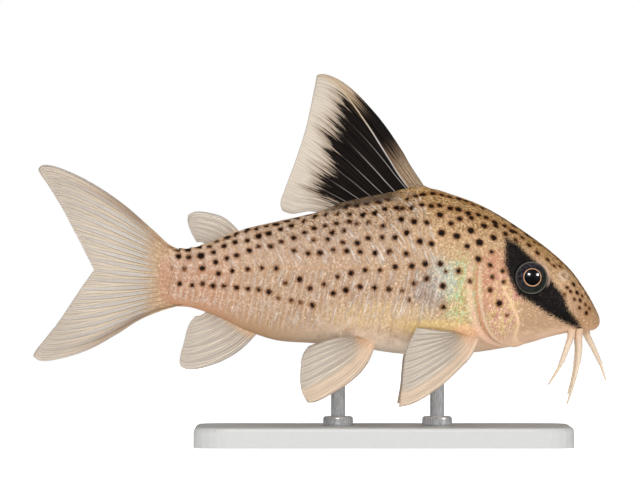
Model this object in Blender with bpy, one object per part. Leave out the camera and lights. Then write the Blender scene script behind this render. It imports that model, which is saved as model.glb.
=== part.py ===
"""Spotted corydoras catfish, a life-size still model held on a plain display stand.

Metres, +X towards the snout, +Y towards the fish's left side, +Z up.
The origin is under the middle of the model, on the surface that the stand rests on.
Places on the fish are given by their distance behind the snout and their height over
the body's axis, both in millimetres, and a turn of 0 on the back and 180 on the belly.
"""
import math

import bmesh
import bpy
from mathutils import Vector

MM = 0.001

# Driving dimensions
SNOUT_X = 35.54 * MM
FIN_DROP = 13.6 * MM
BASE_THICK = 2.6 * MM
FIN_CLEARANCE = 2.4 * MM
AXIS_Z = FIN_DROP + BASE_THICK + FIN_CLEARANCE
GAP = 0.3

# Body: behind the snout, top, widest height, bottom, half width, upper and lower fullness
BODY_STATIONS = [
    (0.0, -2.8, -2.8, -2.8, 0.0, 2.0, 2.0),
    (0.6, -1.0, -2.6, -3.75, 1.5, 2.0, 2.2),
    (1.9, 1.3, -2.2, -4.0, 2.8, 2.0, 2.4),
    (3.8, 3.9, -1.4, -4.15, 3.9, 2.0, 2.5),
    (6.4, 6.3, -0.6, -4.7, 4.9, 1.95, 2.5),
    (9.5, 8.6, 0.2, -5.6, 5.8, 1.9, 2.5),
    (12.7, 10.7, 0.8, -6.2, 6.6, 1.85, 2.5),
    (15.3, 12.1, 1.2, -6.6, 7.0, 1.8, 2.5),
    (18.5, 13.3, 1.5, -6.9, 7.2, 1.75, 2.6),
    (22.0, 14.2, 1.8, -7.1, 7.1, 1.7, 2.6),
    (26.7, 13.3, 2.2, -6.7, 6.7, 1.7, 2.6),
    (31.8, 12.2, 2.5, -5.9, 6.0, 1.75, 2.5),
    (36.9, 10.9, 2.7, -5.5, 5.2, 1.8, 2.4),
    (41.4, 9.9, 2.7, -5.1, 4.3, 1.9, 2.3),
    (45.2, 9.0, 2.7, -3.8, 3.4, 2.0, 2.2),
    (49.0, 7.5, 2.7, -2.0, 2.5, 2.1, 2.2),
    (52.2, 6.55, 2.8, -0.95, 1.8, 2.2, 2.2),
    (54.2, 6.4, 2.8, -0.75, 1.45, 2.2, 2.2),
    (55.4, 5.9, 2.85, -0.2, 1.25, 2.2, 2.2),
    (56.0, 5.2, 2.9, 0.6, 1.15, 2.2, 2.2),
]
STEM_END = 56.0
RING_POINTS = 36
HEAD_RINGS = 20

# The head ends on a slanted plane at the rear edge of the gill cover
HEAD_END = 16.5
HEAD_END_SLANT = 2.0

# Bony plates along the flanks, in columns whose borders point forward at the lateral line
SCUTE_FIRST = 20.4
SCUTE_PITCH = 1.55
TRUNK_SCUTES = 14
STEM_SCUTES = 8
SCUTE_LIFT = 0.32
SCUTE_STEP = 0.14
LATERAL_TURN = 80.0
CHEVRON_FRONT = 2.3
CHEVRON_REAR = 0.6

# Eye: place, radius across, radius along its axis and how far it stands out
EYE_BEHIND = 8.85
EYE_HEIGHT = 2.8
EYE_RADIUS = 2.2
EYE_DEPTH = 1.35
EYE_OUT = 0.8

NOSTRIL_BEHIND = 4.7
NOSTRIL_HEIGHT = 3.1
NOSTRIL_RADIUS = 0.42
NOSTRIL_WALL = 0.2

# Gill cover: an oval plate, leaning forward towards the belly
GILL_BEHIND = 12.6
GILL_TURN = 115.0
GILL_HALF_WIDTH = 2.4
GILL_HALF_TURN = 41.0
GILL_LEAN = 1.7
GILL_THICK = 0.55
GILL_PROUD = 0.3

# Mouth: a crescent under the snout between two lips
MOUTH_BEHIND = 4.4
MOUTH_RADIUS = 1.85
MOUTH_SWEEP = 74.0
LIP_RADIUS = 0.42
LIP_SPREAD = 0.36
SLIT_RADIUS = 0.16
MOUTH_STEPS = 12

# Fins: half thickness of the membrane, of a ray and of a leading spine
MEMBRANE_HALF = 0.25
RAY_HALF = 0.46
TIP_SHARE = 0.55
RAY_FOOT = 0.24

BARBEL_ROOT_RADIUS = 0.36
BARBEL_TIP_RADIUS = 0.13
BARBEL_SIDES = 8

# Stand
BASE_CENTRE_X = 8.0 * MM
BASE_LENGTH = 48.0 * MM
BASE_WIDTH = 26.0 * MM
BASE_CORNER = 4.0 * MM
BASE_EDGE = 0.5 * MM
ROD_RADIUS = 0.9 * MM
ROD_SIDES = 16
ROD_FRONT_BEHIND = 20.7
ROD_REAR_BEHIND = 33.3

RIGHT = -1
LEFT = 1
SIDES = {"right": RIGHT, "left": LEFT}


def clear_scene():
    for thing in list(bpy.data.objects):
        bpy.data.objects.remove(thing, do_unlink=True)


def plain_material(name, colour, roughness, metallic=0.0):
    material = bpy.data.materials.new(name)
    material.use_nodes = True
    shader = material.node_tree.nodes["Principled BSDF"]
    shader.inputs["Base Color"].default_value = (*colour, 1.0)
    shader.inputs["Roughness"].default_value = roughness
    shader.inputs["Metallic"].default_value = metallic
    return material


def smooth_step(low, high, value):
    share = min(max((value - low) / (high - low), 0.0), 1.0)
    return share * share * (3.0 - 2.0 * share)


def cubic_through(knots, values, place):
    """A smooth curve through values at knots, by cubics that share slopes where they meet."""
    last = len(knots) - 1
    place = min(max(place, knots[0]), knots[last])
    index = 0
    while index < last - 1 and place > knots[index + 1]:
        index += 1

    def rise(at):
        return (values[at + 1] - values[at]) / (knots[at + 1] - knots[at])

    def slope(at):
        if at == 0:
            return rise(0)
        if at == last:
            return rise(last - 1)
        return 0.5 * (rise(at - 1) + rise(at))

    span = knots[index + 1] - knots[index]
    t = (place - knots[index]) / span
    low = (1.0 + 2.0 * t) * (1.0 - t) ** 2 * values[index]
    low += t * (1.0 - t) ** 2 * span * slope(index)
    high = t * t * (3.0 - 2.0 * t) * values[index + 1]
    high += t * t * (t - 1.0) * span * slope(index + 1)
    return low + high


STATION_KNOTS = [math.sqrt(station[0]) for station in BODY_STATIONS]
STATION_COLUMNS = list(zip(*BODY_STATIONS))[1:]


def section(behind):
    """Top, widest height, bottom, half width and the two fullnesses at a distance."""
    place = math.sqrt(max(behind, 0.0))
    return [cubic_through(STATION_KNOTS, column, place) for column in STATION_COLUMNS]


def top_height(behind):
    return section(behind)[0]


def bottom_height(behind):
    return section(behind)[2]


def body_place(behind, across, height):
    return Vector((SNOUT_X - behind * MM, across * MM, AXIS_Z + height * MM))


def flat_skin_point(behind, turn):
    """Point of the body's smooth surface, turn in degrees from the back round to the belly."""
    top, widest, bottom, half, upper, lower = section(behind)
    out = math.sin(math.radians(turn))
    up = math.cos(math.radians(turn))
    fullness = upper if up >= 0.0 else lower
    reach = top - widest if up >= 0.0 else widest - bottom
    size = (abs(out) ** fullness + abs(up) ** fullness) ** (-1.0 / fullness)
    return body_place(behind, half * out * size, widest + reach * up * size)


def skin_normal(behind, turn):
    step = 0.05
    near = max(behind, 2.0 * step)
    along = flat_skin_point(near + step, turn) - flat_skin_point(near - step, turn)
    around = flat_skin_point(near, turn + 1.0) - flat_skin_point(near, turn - 1.0)
    normal = along.cross(around).normalized()
    centre = body_place(near, 0.0, section(near)[1])
    if normal.dot(flat_skin_point(near, turn) - centre) < 0.0:
        normal.negate()
    return normal


def skin_point(behind, turn, lift=0.0):
    point = flat_skin_point(behind, turn)
    if lift:
        point += skin_normal(behind, turn) * lift * MM
    return point


def turn_at_height(behind, height):
    """Turn on the right-hand half of the section where the surface has a height."""
    top, widest, bottom, half, upper, lower = section(behind)
    fullness = upper if height >= widest else lower
    reach = top - widest if height >= widest else widest - bottom
    share = min(abs(height - widest) / reach, 1.0)
    out = (1.0 - share ** fullness) ** (1.0 / fullness)
    up = share if height >= widest else -share
    return math.degrees(math.atan2(out, up))


def flank_width(behind, height):
    """Half width of the body at a height, nothing above the back and below the belly."""
    top, widest, bottom, half, upper, lower = section(behind)
    fullness = upper if height >= widest else lower
    reach = top - widest if height >= widest else widest - bottom
    share = abs(height - widest) / reach
    if share >= 1.0:
        return 0.0
    return half * (1.0 - share ** fullness) ** (1.0 / fullness)


def belly_height(behind, across):
    top, widest, bottom, half, upper, lower = section(behind)
    share = min(abs(across) / half, 1.0)
    return widest - (widest - bottom) * (1.0 - share ** lower) ** (1.0 / lower)


def head_border(turn):
    return HEAD_END + HEAD_END_SLANT * math.cos(math.radians(turn))


def scute_border(number, turn):
    """Distance behind the snout of a plate column's front border at a turn."""
    folded = abs((turn + 180.0) % 360.0 - 180.0)
    columns = TRUNK_SCUTES + STEM_SCUTES
    chevron = CHEVRON_FRONT + (CHEVRON_REAR - CHEVRON_FRONT) * number / columns
    if folded < LATERAL_TURN:
        share = (LATERAL_TURN - folded) / LATERAL_TURN
    else:
        share = (folded - LATERAL_TURN) / (180.0 - LATERAL_TURN)
    return SCUTE_FIRST + SCUTE_PITCH * number + chevron * share


def scute_share(turn):
    """How much of the full lift a plate has at a turn: none on the ridge and the belly."""
    folded = abs((turn + 180.0) % 360.0 - 180.0)
    share = smooth_step(2.0, 18.0, folded) * (1.0 - smooth_step(126.0, 152.0, folded))
    seam = math.exp(-((folded - LATERAL_TURN) / 5.0) ** 2)
    return share * (1.0 - 0.7 * seam)


def finish_node(name, mesh, material):
    """Link a mesh as a node, with its faces outwards and its round parts shaded smooth."""
    shape = bmesh.new()
    shape.from_mesh(mesh)
    bmesh.ops.recalc_face_normals(shape, faces=shape.faces)
    shape.to_mesh(mesh)
    shape.free()
    mesh.materials.clear()
    mesh.materials.append(material)
    mesh.shade_smooth()
    mesh.set_sharp_from_angle(angle=math.radians(30.0))
    node = bpy.data.objects.new(name, mesh)
    bpy.context.scene.collection.objects.link(node)
    return node


def mesh_from(name, points, faces):
    mesh = bpy.data.meshes.new(name)
    mesh.from_pydata([tuple(point) for point in points], [], faces)
    mesh.update()
    return mesh


def ring_faces(first, second, count):
    """Triangles between two rings of points, given where each ring starts."""
    faces = []
    for index in range(count):
        after = (index + 1) % count
        faces.append((first + index, first + after, second + after))
        faces.append((first + index, second + after, second + index))
    return faces


def fan_faces(centre, start, count, flip):
    faces = []
    for index in range(count):
        after = (index + 1) % count
        pair = (start + after, start + index) if flip else (start + index, start + after)
        faces.append((centre, *pair))
    return faces


def lofted_mesh(name, rings, front_centre, rear_centre):
    """Closed mesh through rings of equal size, ended by a fan at each centre."""
    count = len(rings[0])
    points = [front_centre]
    faces = fan_faces(0, 1, count, True)
    for number, ring in enumerate(rings):
        start = len(points)
        points.extend(ring)
        if number:
            faces += ring_faces(start - count, start, count)
    points.append(rear_centre)
    faces += fan_faces(len(points) - 1, len(points) - 1 - count, count, False)
    return mesh_from(name, points, faces)


RING_TURNS = [360.0 * index / RING_POINTS for index in range(RING_POINTS)]


def cap_centre(border, ease):
    """Middle of a cut face, at the mean distance of its border."""
    behind = sum(border(turn) for turn in RING_TURNS) / RING_POINTS + ease
    top, widest, bottom = section(behind)[:3]
    return body_place(behind, 0.0, 0.5 * (top + bottom))


def apply_boolean(mesh, operation, helpers):
    """One Boolean of all helpers on a mesh, then the helpers are removed."""
    target = bpy.data.objects.new("target", mesh)
    bpy.context.scene.collection.objects.link(target)
    group = bpy.data.collections.new("helpers")
    for helper in helpers:
        helper.hide_render = True
        helper.display_type = "WIRE"
        group.objects.link(helper)
    boolean = target.modifiers.new(operation.lower(), "BOOLEAN")
    boolean.operation = operation
    boolean.operand_type = "COLLECTION"
    boolean.collection = group
    boolean.solver = "EXACT"
    depsgraph = bpy.context.evaluated_depsgraph_get()
    result = bpy.data.meshes.new_from_object(target.evaluated_get(depsgraph))
    for helper in helpers + [target]:
        bpy.data.objects.remove(helper, do_unlink=True)
    bpy.data.collections.remove(group)
    return result


def keep_largest(mesh):
    """Keep only the largest closed surface of a mesh."""
    shape = bmesh.new()
    shape.from_mesh(mesh)
    left = set(shape.verts)
    groups = []
    while left:
        stack = [left.pop()]
        group = set(stack)
        while stack:
            for edge in stack.pop().link_edges:
                for point in edge.verts:
                    if point in left:
                        left.remove(point)
                        group.add(point)
                        stack.append(point)
        groups.append(group)
    groups.sort(key=len, reverse=True)
    for group in groups[1:]:
        bmesh.ops.delete(shape, geom=list(group), context="VERTS")
    shape.to_mesh(mesh)
    shape.free()
    return mesh


def helper_object(name, mesh):
    shape = bmesh.new()
    shape.from_mesh(mesh)
    bmesh.ops.recalc_face_normals(shape, faces=shape.faces)
    shape.to_mesh(mesh)
    shape.free()
    helper = bpy.data.objects.new(name, mesh)
    bpy.context.scene.collection.objects.link(helper)
    return helper


def tube_mesh(name, points, radii, sides):
    """Round tube along points, with a flat cap at each end."""
    rings = []
    across = None
    for index, point in enumerate(points):
        before = points[max(index - 1, 0)]
        after = points[min(index + 1, len(points) - 1)]
        along = (after - before).normalized()
        if across is None:
            across = along.orthogonal().normalized()
        across = (across - along * across.dot(along)).normalized()
        up = along.cross(across)
        ring = []
        for number in range(sides):
            angle = 2.0 * math.pi * number / sides
            ring.append(point + (across * math.cos(angle) + up * math.sin(angle)) * radii[index])
        rings.append(ring)
    return lofted_mesh(name, rings, points[0], points[-1])


def eye_axis(side):
    """Outward axis of an eye, between the skin's normal and straight sideways."""
    turn = turn_at_height(EYE_BEHIND, EYE_HEIGHT)
    normal = skin_normal(EYE_BEHIND, turn)
    axis = (normal + Vector((0.0, 1.0, 0.0)) * 1.2).normalized()
    return Vector((axis.x, axis.y * side, axis.z))


def eye_centre(side):
    turn = turn_at_height(EYE_BEHIND, EYE_HEIGHT)
    point = skin_point(EYE_BEHIND, turn)
    point.y *= side
    return point - eye_axis(side) * (EYE_DEPTH - EYE_OUT) * MM


def eye_mesh(name, side, grow):
    """Flattened ball that fills the eye or, grown, its socket."""
    mesh = bpy.data.meshes.new(name)
    shape = bmesh.new()
    bmesh.ops.create_uvsphere(shape, u_segments=20, v_segments=11, radius=1.0)
    facing = eye_axis(side).to_track_quat("Z", "Y")
    across = (EYE_RADIUS + grow) * MM
    along = (EYE_DEPTH + grow) * MM
    for point in shape.verts:
        flat = Vector((point.co.x * across, point.co.y * across, point.co.z * along))
        point.co = eye_centre(side) + facing @ flat
    shape.to_mesh(mesh)
    shape.free()
    return mesh


def gill_point(radius, angle, lift, grow, side):
    """Point over the gill cover's oval, from its middle at radius 0 to its edge at 1."""
    half_width = GILL_HALF_WIDTH + grow
    half_turn = GILL_HALF_TURN + grow * 8.0
    down = math.sin(angle) * radius
    behind = GILL_BEHIND + half_width * math.cos(angle) * radius - GILL_LEAN * down
    point = skin_point(behind, GILL_TURN + half_turn * down, lift)
    point.y *= side
    return point


def gill_plate_mesh(name, side, low, high, grow, round_edge):
    """Closed plate over the gill chamber between two lifts from the skin."""
    spokes = 24
    radii = [0.0, 0.3, 0.55, 0.77, 0.92, 1.0]
    points = []
    faces = []
    for lift in (low, high):
        start = len(points)
        points.append(gill_point(0.0, 0.0, lift, grow, side))
        for radius in radii[1:]:
            edge = round_edge * radius ** 6 if lift == high else 0.0
            for spoke in range(spokes):
                angle = 2.0 * math.pi * spoke / spokes
                points.append(gill_point(radius, angle, lift - edge, grow, side))
        faces += fan_faces(start, start + 1, spokes, False)
        for number in range(len(radii) - 2):
            ring = start + 1 + number * spokes
            faces += ring_faces(ring, ring + spokes, spokes)
    size = len(points) // 2
    faces += ring_faces(size - spokes, 2 * size - spokes, spokes)
    return mesh_from(name, points, faces)


def mouth_arc(spread, lift):
    """Crescent of points under the snout, spread from the mouth's line except at its corners."""
    points = []
    for index in range(MOUTH_STEPS + 1):
        share = 2.0 * index / MOUTH_STEPS - 1.0
        angle = math.radians(MOUTH_SWEEP * share)
        radius = MOUTH_RADIUS + spread * (1.0 - 0.8 * share ** 4)
        behind = MOUTH_BEHIND - radius * math.cos(angle)
        across = 1.1 * radius * math.sin(angle)
        points.append(body_place(behind, across, belly_height(behind, across) - lift))
    return points


def lip_pieces():
    """Upper and lower lip, thickest in the middle and thin at the corners."""
    pieces = []
    for name, spread in (("upper_lip", LIP_SPREAD), ("lower_lip", -LIP_SPREAD)):
        points = mouth_arc(spread, -0.08)
        last = len(points) - 1
        radii = []
        for index in range(len(points)):
            middle = math.sin(math.pi * index / last)
            radii.append(LIP_RADIUS * (0.55 + 0.45 * middle) * MM)
        pieces.append(helper_object(name, tube_mesh(name, points, radii, 8)))
    return pieces


def nostril_place(side):
    turn = turn_at_height(NOSTRIL_BEHIND, NOSTRIL_HEIGHT)
    point = skin_point(NOSTRIL_BEHIND, turn)
    normal = skin_normal(NOSTRIL_BEHIND, turn)
    point.y *= side
    normal.y *= side
    return point, normal


def nostril_rim(side):
    """Raised ring round a nostril, its inner side left open for the pit."""
    point, normal = nostril_place(side)
    across = normal.orthogonal().normalized()
    up = normal.cross(across)
    sides = 12
    wall_sides = 6
    points = []
    faces = []
    for index in range(sides):
        angle = 2.0 * math.pi * index / sides
        out = across * math.cos(angle) + up * math.sin(angle)
        for number in range(wall_sides):
            wall = 2.0 * math.pi * number / wall_sides
            reach = NOSTRIL_RADIUS + NOSTRIL_WALL * math.cos(wall)
            points.append(point + (out * reach + normal * NOSTRIL_WALL * math.sin(wall)) * MM)
    for index in range(sides):
        after = (index + 1) % sides
        faces += ring_faces(index * wall_sides, after * wall_sides, wall_sides)
    return helper_object("nostril_rim", mesh_from("nostril_rim", points, faces))


def nostril_pit(side):
    point, normal = nostril_place(side)
    radius = (NOSTRIL_RADIUS - NOSTRIL_WALL * 0.6) * MM
    ends = [point - normal * 0.7 * MM, point + normal * 0.8 * MM]
    return helper_object("nostril_pit", tube_mesh("nostril_pit", ends, [radius * 0.6, radius], 10))


def make_head(material):
    rings = []
    for number in range(1, HEAD_RINGS + 1):
        share = (number / HEAD_RINGS) ** 1.7
        rings.append([flat_skin_point(head_border(turn) * share, turn) for turn in RING_TURNS])
    nose = flat_skin_point(0.0, 0.0)
    mesh = lofted_mesh("head", rings, nose, cap_centre(head_border, 0.0))
    pieces = lip_pieces()
    cutters = []
    slit = tube_mesh("slit", mouth_arc(0.0, 0.26), [SLIT_RADIUS * MM] * (MOUTH_STEPS + 1), 6)
    cutters.append(helper_object("mouth_slit", slit))
    for side in (RIGHT, LEFT):
        pieces.append(nostril_rim(side))
        cutters.append(nostril_pit(side))
        cutters.append(helper_object("socket", eye_mesh("socket", side, GAP)))
        recess = gill_plate_mesh("recess", side, GILL_PROUD - GILL_THICK - GAP, 1.6, GAP, 0.0)
        cutters.append(helper_object("recess", recess))
    mesh = apply_boolean(mesh, "UNION", [helper_object("head_base", mesh.copy())] + pieces)
    mesh = apply_boolean(mesh, "DIFFERENCE", cutters)
    return finish_node("head", keep_largest(mesh), material)


def plated_rings(first, last):
    """Rings of points along plate columns, each column rising towards its rear border."""
    rings = []
    for number in range(first, last):
        front = []
        rear = []
        for turn in RING_TURNS:
            lift = SCUTE_LIFT * scute_share(turn)
            front.append(skin_point(scute_border(number, turn), turn))
            rear.append(skin_point(scute_border(number + 1, turn) - SCUTE_STEP, turn, lift))
        rings += [front, rear]
    return rings


def make_trunk(material):
    """Shoulder and trunk, from behind the gill covers to the middle of the anal fin."""
    rings = []
    steps = 4
    for number in range(steps):
        share = number / steps
        ring = []
        for turn in RING_TURNS:
            start = head_border(turn) + GAP
            behind = start + (scute_border(0, turn) - start) * share
            ring.append(flat_skin_point(behind, turn))
        rings.append(ring)
    rings += plated_rings(0, TRUNK_SCUTES)

    def rear_border(turn):
        return scute_border(TRUNK_SCUTES, turn) - SCUTE_STEP

    mesh = lofted_mesh("trunk", rings, cap_centre(head_border, GAP), cap_centre(rear_border, 0.0))
    return finish_node("trunk", mesh, material)


def make_tail_stem(material):
    """Tail stem that carries the adipose, anal and tail fins."""
    columns = TRUNK_SCUTES + STEM_SCUTES

    def front_border(turn):
        return scute_border(TRUNK_SCUTES, turn) + GAP - SCUTE_STEP

    rings = plated_rings(TRUNK_SCUTES, columns)
    rings[0] = [flat_skin_point(front_border(turn), turn) for turn in RING_TURNS]
    end_steps = 3
    for number in range(end_steps + 1):
        ring = []
        for turn in RING_TURNS:
            start = scute_border(columns, turn)
            ring.append(flat_skin_point(start + (STEM_END - start) * number / end_steps, turn))
        rings.append(ring)
    rear = body_place(STEM_END, 0.0, section(STEM_END)[1])
    mesh = lofted_mesh("tail_stem", rings, cap_centre(front_border, 0.0), rear)
    return finish_node("tail_stem", mesh, material)


def curve_point(points, share):
    """Point at a share of the length of a smooth curve through flat points."""
    knots = [0.0]
    for before, after in zip(points, points[1:]):
        knots.append(knots[-1] + math.dist(before, after))
    place = knots[-1] * share
    columns = zip(*points)
    return [cubic_through(knots, column, place) for column in columns]


def patch_point(edges, along, across):
    """Point inside four curves: lead and trail run root to tip, root and margin run across."""
    lead = curve_point(edges["lead"], along)
    trail = curve_point(edges["trail"], along)
    root = curve_point(edges["root"], across)
    margin = curve_point(edges["margin"], across)
    point = []
    for axis in (0, 1):
        corner = (1 - along) * (1 - across) * edges["lead"][0][axis]
        corner += along * (1 - across) * edges["lead"][-1][axis]
        corner += (1 - along) * across * edges["trail"][0][axis]
        corner += along * across * edges["trail"][-1][axis]
        sides = (1 - across) * lead[axis] + across * trail[axis]
        ends = (1 - along) * root[axis] + along * margin[axis]
        point.append(sides + ends - corner)
    return point


def ray_columns(rays):
    """Shares across a fin of its mesh lines: one on each ray's crest and one at each foot."""
    columns = [0.0]
    for ray in range(rays):
        columns += [(ray + RAY_FOOT) / rays, (ray + 1.0 - RAY_FOOT) / rays, (ray + 1.0) / rays]
    return columns


def fin_mesh(name, point_at, half_at, rows, places):
    """Closed fin from its middle surface and half thickness, both faces split alike."""
    step = 0.02
    columns = len(places) - 1
    points = []
    for face in (-1.0, 1.0):
        for row in range(rows + 1):
            for across in places:
                along = row / rows
                near_along = min(max(along, step), 1.0 - step)
                near_across = min(max(across, step), 1.0 - step)
                down = point_at(near_along + step, near_across) - point_at(near_along - step, near_across)
                over = point_at(near_along, near_across + step) - point_at(near_along, near_across - step)
                normal = down.cross(over).normalized()
                points.append(point_at(along, across) + normal * face * half_at(along, across) * MM)
    width = columns + 1
    size = len(points) // 2
    faces = []
    for offset in (0, size):
        for row in range(rows):
            for column in range(columns):
                corner = offset + row * width + column
                faces.append((corner, corner + 1, corner + width + 1))
                faces.append((corner, corner + width + 1, corner + width))
    rim = [column for column in range(width)]
    rim += [row * width + columns for row in range(1, rows + 1)]
    rim += [rows * width + column for column in range(columns - 1, -1, -1)]
    rim += [row * width for row in range(rows - 1, 0, -1)]
    for index, point in enumerate(rim):
        after = rim[(index + 1) % len(rim)]
        faces.append((point, after, after + size))
        faces.append((point, after + size, point + size))
    return mesh_from(name, points, faces)


def ray_half(rays, spine_half, root_half):
    """Half thickness of a fin with ridges for its rays and a stronger leading spine."""
    def half_at(along, across):
        place = across * rays
        on_ray = abs(place - round(place)) < 0.01
        half = RAY_HALF if on_ray else MEMBRANE_HALF
        if across < 0.5 / rays:
            half = spine_half
        elif across < 1.5 / rays:
            half = max(half, 0.6 * spine_half)
        taper = 1.0 - (1.0 - TIP_SHARE) * along ** 1.5
        root = (root_half - half) * (1.0 - smooth_step(0.0, 0.25, along))
        return half * taper + max(root, 0.0)
    return half_at


def back_curve(start, end, gap):
    """Root of a fin along the back, from one distance behind the snout to another."""
    places = [start + (end - start) * index / 5 for index in range(6)]
    return [(behind, top_height(behind) + gap) for behind in places]


def belly_curve(start, end, gap):
    places = [start + (end - start) * index / 5 for index in range(6)]
    return [(behind, bottom_height(behind) - gap) for behind in places]


def dorsal_edges():
    root = back_curve(22.4, 34.3, GAP)
    tip = (36.0, 28.8)
    corner = (40.4, 11.3)
    return {
        "root": root,
        "lead": [root[0], (25.0, 18.9), (28.7, 23.9), (33.0, 27.9), (35.2, 28.9), tip],
        "margin": [tip, (36.5, 26.0), (37.5, 21.5), (38.7, 17.8), (40.1, 14.0), (40.65, 12.2), corner],
        "trail": [root[-1], (37.0, 11.25), (39.2, 10.95), corner],
    }


def adipose_edges():
    root = back_curve(45.6, 49.9, GAP)
    tip = (52.4, 10.8)
    corner = (51.3, 7.3)
    return {
        "root": root,
        "lead": [root[0], (47.8, 10.45), (49.6, 11.05), (51.5, 11.2), tip],
        "margin": [tip, (52.45, 10.0), (52.05, 8.7), corner],
        "trail": [root[-1], (50.6, 7.3), corner],
    }


def anal_edges():
    root = belly_curve(43.4, 49.6, GAP)
    tip = (53.4, -8.5)
    corner = (51.5, -2.1)
    return {
        "root": root,
        "lead": [root[0], (45.8, -6.45), (48.5, -8.0), (50.8, -8.75), (52.6, -8.85), tip],
        "margin": [tip, (53.45, -7.6), (53.0, -5.7), (52.2, -3.0), corner],
        "trail": [root[-1], (50.7, -1.95), corner],
    }


def tail_root(share):
    """Root of the tail fin, bent round the end of the tail stem from its back to its belly."""
    centre = (53.6, 2.85)
    reach = STEM_END + GAP - centre[0]
    half_height = 3.8
    angle = math.radians(90.0 - 180.0 * share)
    out = math.cos(angle)
    up = math.sin(angle)
    size = (abs(out) ** 2.8 + abs(up) ** 2.8) ** (-1.0 / 2.8)
    return (centre[0] + reach * out * size, centre[1] + half_height * up * size)


def tail_edges():
    """Edges of the upper and the lower lobe, which meet along the middle of the fin."""
    top_root = [tail_root(index / 12) for index in range(7)]
    low_root = [tail_root(0.5 + index / 12) for index in range(7)]
    fork = (64.35, 3.8)
    top_tip = (71.4, 16.75)
    low_tip = (72.2, -7.0)
    middle = [top_root[-1], (60.3, 3.3), fork]
    upper = {
        "root": top_root,
        "lead": [top_root[0], (56.9, 8.95), (60.4, 12.0), (64.0, 14.5), (67.6, 16.35), (70.2, 17.05), top_tip],
        "margin": [top_tip, (70.3, 15.0), (68.5, 11.8), (66.7, 8.4), fork],
        "trail": middle,
    }
    lower = {
        "root": low_root,
        "lead": middle,
        "margin": [fork, (65.3, 2.5), (67.0, 0.0), (68.8, -2.7), (70.6, -5.0), low_tip],
        "trail": [low_root[-1], (56.0, -1.5), (58.6, -2.6), (61.3, -4.3), (64.9, -6.3), (68.6, -7.5), low_tip],
    }
    return upper, lower


def pectoral_edges():
    root = [(15.7, -4.5), (16.9, -3.75), (18.2, -3.1)]
    tip = (25.7, -13.45)
    corner = (23.4, -3.4)
    return {
        "root": root,
        "lead": [root[0], (16.5, -6.9), (18.3, -9.05), (21.2, -11.45), (24.1, -13.1), tip],
        "margin": [tip, (25.3, -11.0), (25.1, -8.6), (24.7, -6.3), corner],
        "trail": [root[-1], (20.9, -3.0), corner],
    }


def pelvic_edges():
    root = [(28.5, -5.6), (29.5, -5.05), (30.6, -4.6)]
    tip = (37.2, -12.95)
    corner = (37.1, -6.0)
    return {
        "root": root,
        "lead": [root[0], (29.8, -8.4), (31.6, -10.25), (34.2, -11.9), (36.3, -12.9), tip],
        "margin": [tip, (37.95, -11.4), (38.1, -8.9), (37.8, -7.1), corner],
        "trail": [root[-1], (34.0, -4.9), corner],
    }


def make_median_fin(name, edges, rays, spine_half, root_half, rows, material):
    """Fin in the fish's middle plane."""
    def point_at(along, across):
        behind, height = patch_point(edges, along, across)
        return body_place(behind, 0.0, height)

    half_at = ray_half(rays, spine_half, root_half)
    mesh = fin_mesh(name, point_at, half_at, rows, ray_columns(rays))
    return finish_node(name, mesh, material)


def make_tail_fin(material):
    """Forked tail fin, its two lobes in one sheet."""
    upper, lower = tail_edges()
    lobe_rays = 7

    def point_at(along, across):
        if across <= 0.5:
            behind, height = patch_point(upper, along, 2.0 * across)
        else:
            behind, height = patch_point(lower, along, 2.0 * across - 1.0)
        return body_place(behind, 0.0, height)

    lobe_half = ray_half(lobe_rays, 0.5, 0.85)

    def half_at(along, across):
        return lobe_half(along, 1.0 - abs(2.0 * across - 1.0))

    mesh = fin_mesh("caudal_fin", point_at, half_at, 8, ray_columns(2 * lobe_rays))
    return finish_node("caudal_fin", mesh, material)


def make_paired_fin(name, edges, side, splay, rays, spine_half, material):
    """Fin that leaves the lower flank and spreads outwards, always clear of the body."""
    half_at = ray_half(rays, spine_half, RAY_HALF)

    def point_at(along, across):
        behind, height = patch_point(edges, along, across)
        root_behind, root_height = curve_point(edges["root"], across)
        clearance = GAP + spine_half + (RAY_HALF - spine_half) * smooth_step(0.0, 2.0 / rays, across)
        clearance += SCUTE_LIFT * smooth_step(SCUTE_FIRST - 2.0, SCUTE_FIRST + 2.0, behind)
        drop = root_height - height
        spread = splay * 0.5 * (drop + math.sqrt(drop * drop + 0.1))
        out = flank_width(root_behind, root_height) + clearance + spread
        return body_place(behind, side * out, height)

    mesh = fin_mesh(name, point_at, half_at, 7, ray_columns(rays))
    return finish_node(name, mesh, material)


# Barbels: sides, then places from root to tip as behind, across and height
BARBELS = {
    "barbel_outer_right": (RIGHT, [(3.7, 2.1), (4.2, 2.5, -5.9), (5.15, 2.9, -8.3), (6.7, 3.2, -10.85)]),
    "barbel_inner_right": (RIGHT, [(2.75, 1.75), (2.7, 2.1, -6.6), (3.2, 2.4, -9.6), (4.25, 2.6, -13.3)]),
    "barbel_outer_left": (LEFT, [(1.65, 1.75), (0.85, 2.6, -5.9), (-0.1, 3.3, -7.9), (-1.0, 3.9, -10.5)]),
    "barbel_inner_left": (LEFT, [(2.9, 2.0), (3.1, 2.5, -6.4), (3.5, 2.8, -9.0), (4.0, 3.0, -12.0)]),
}
CHIN_BARBELS = [(3.6, 0.75), (3.75, 0.85, -5.3), (4.1, 0.95, -6.1)]


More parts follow.
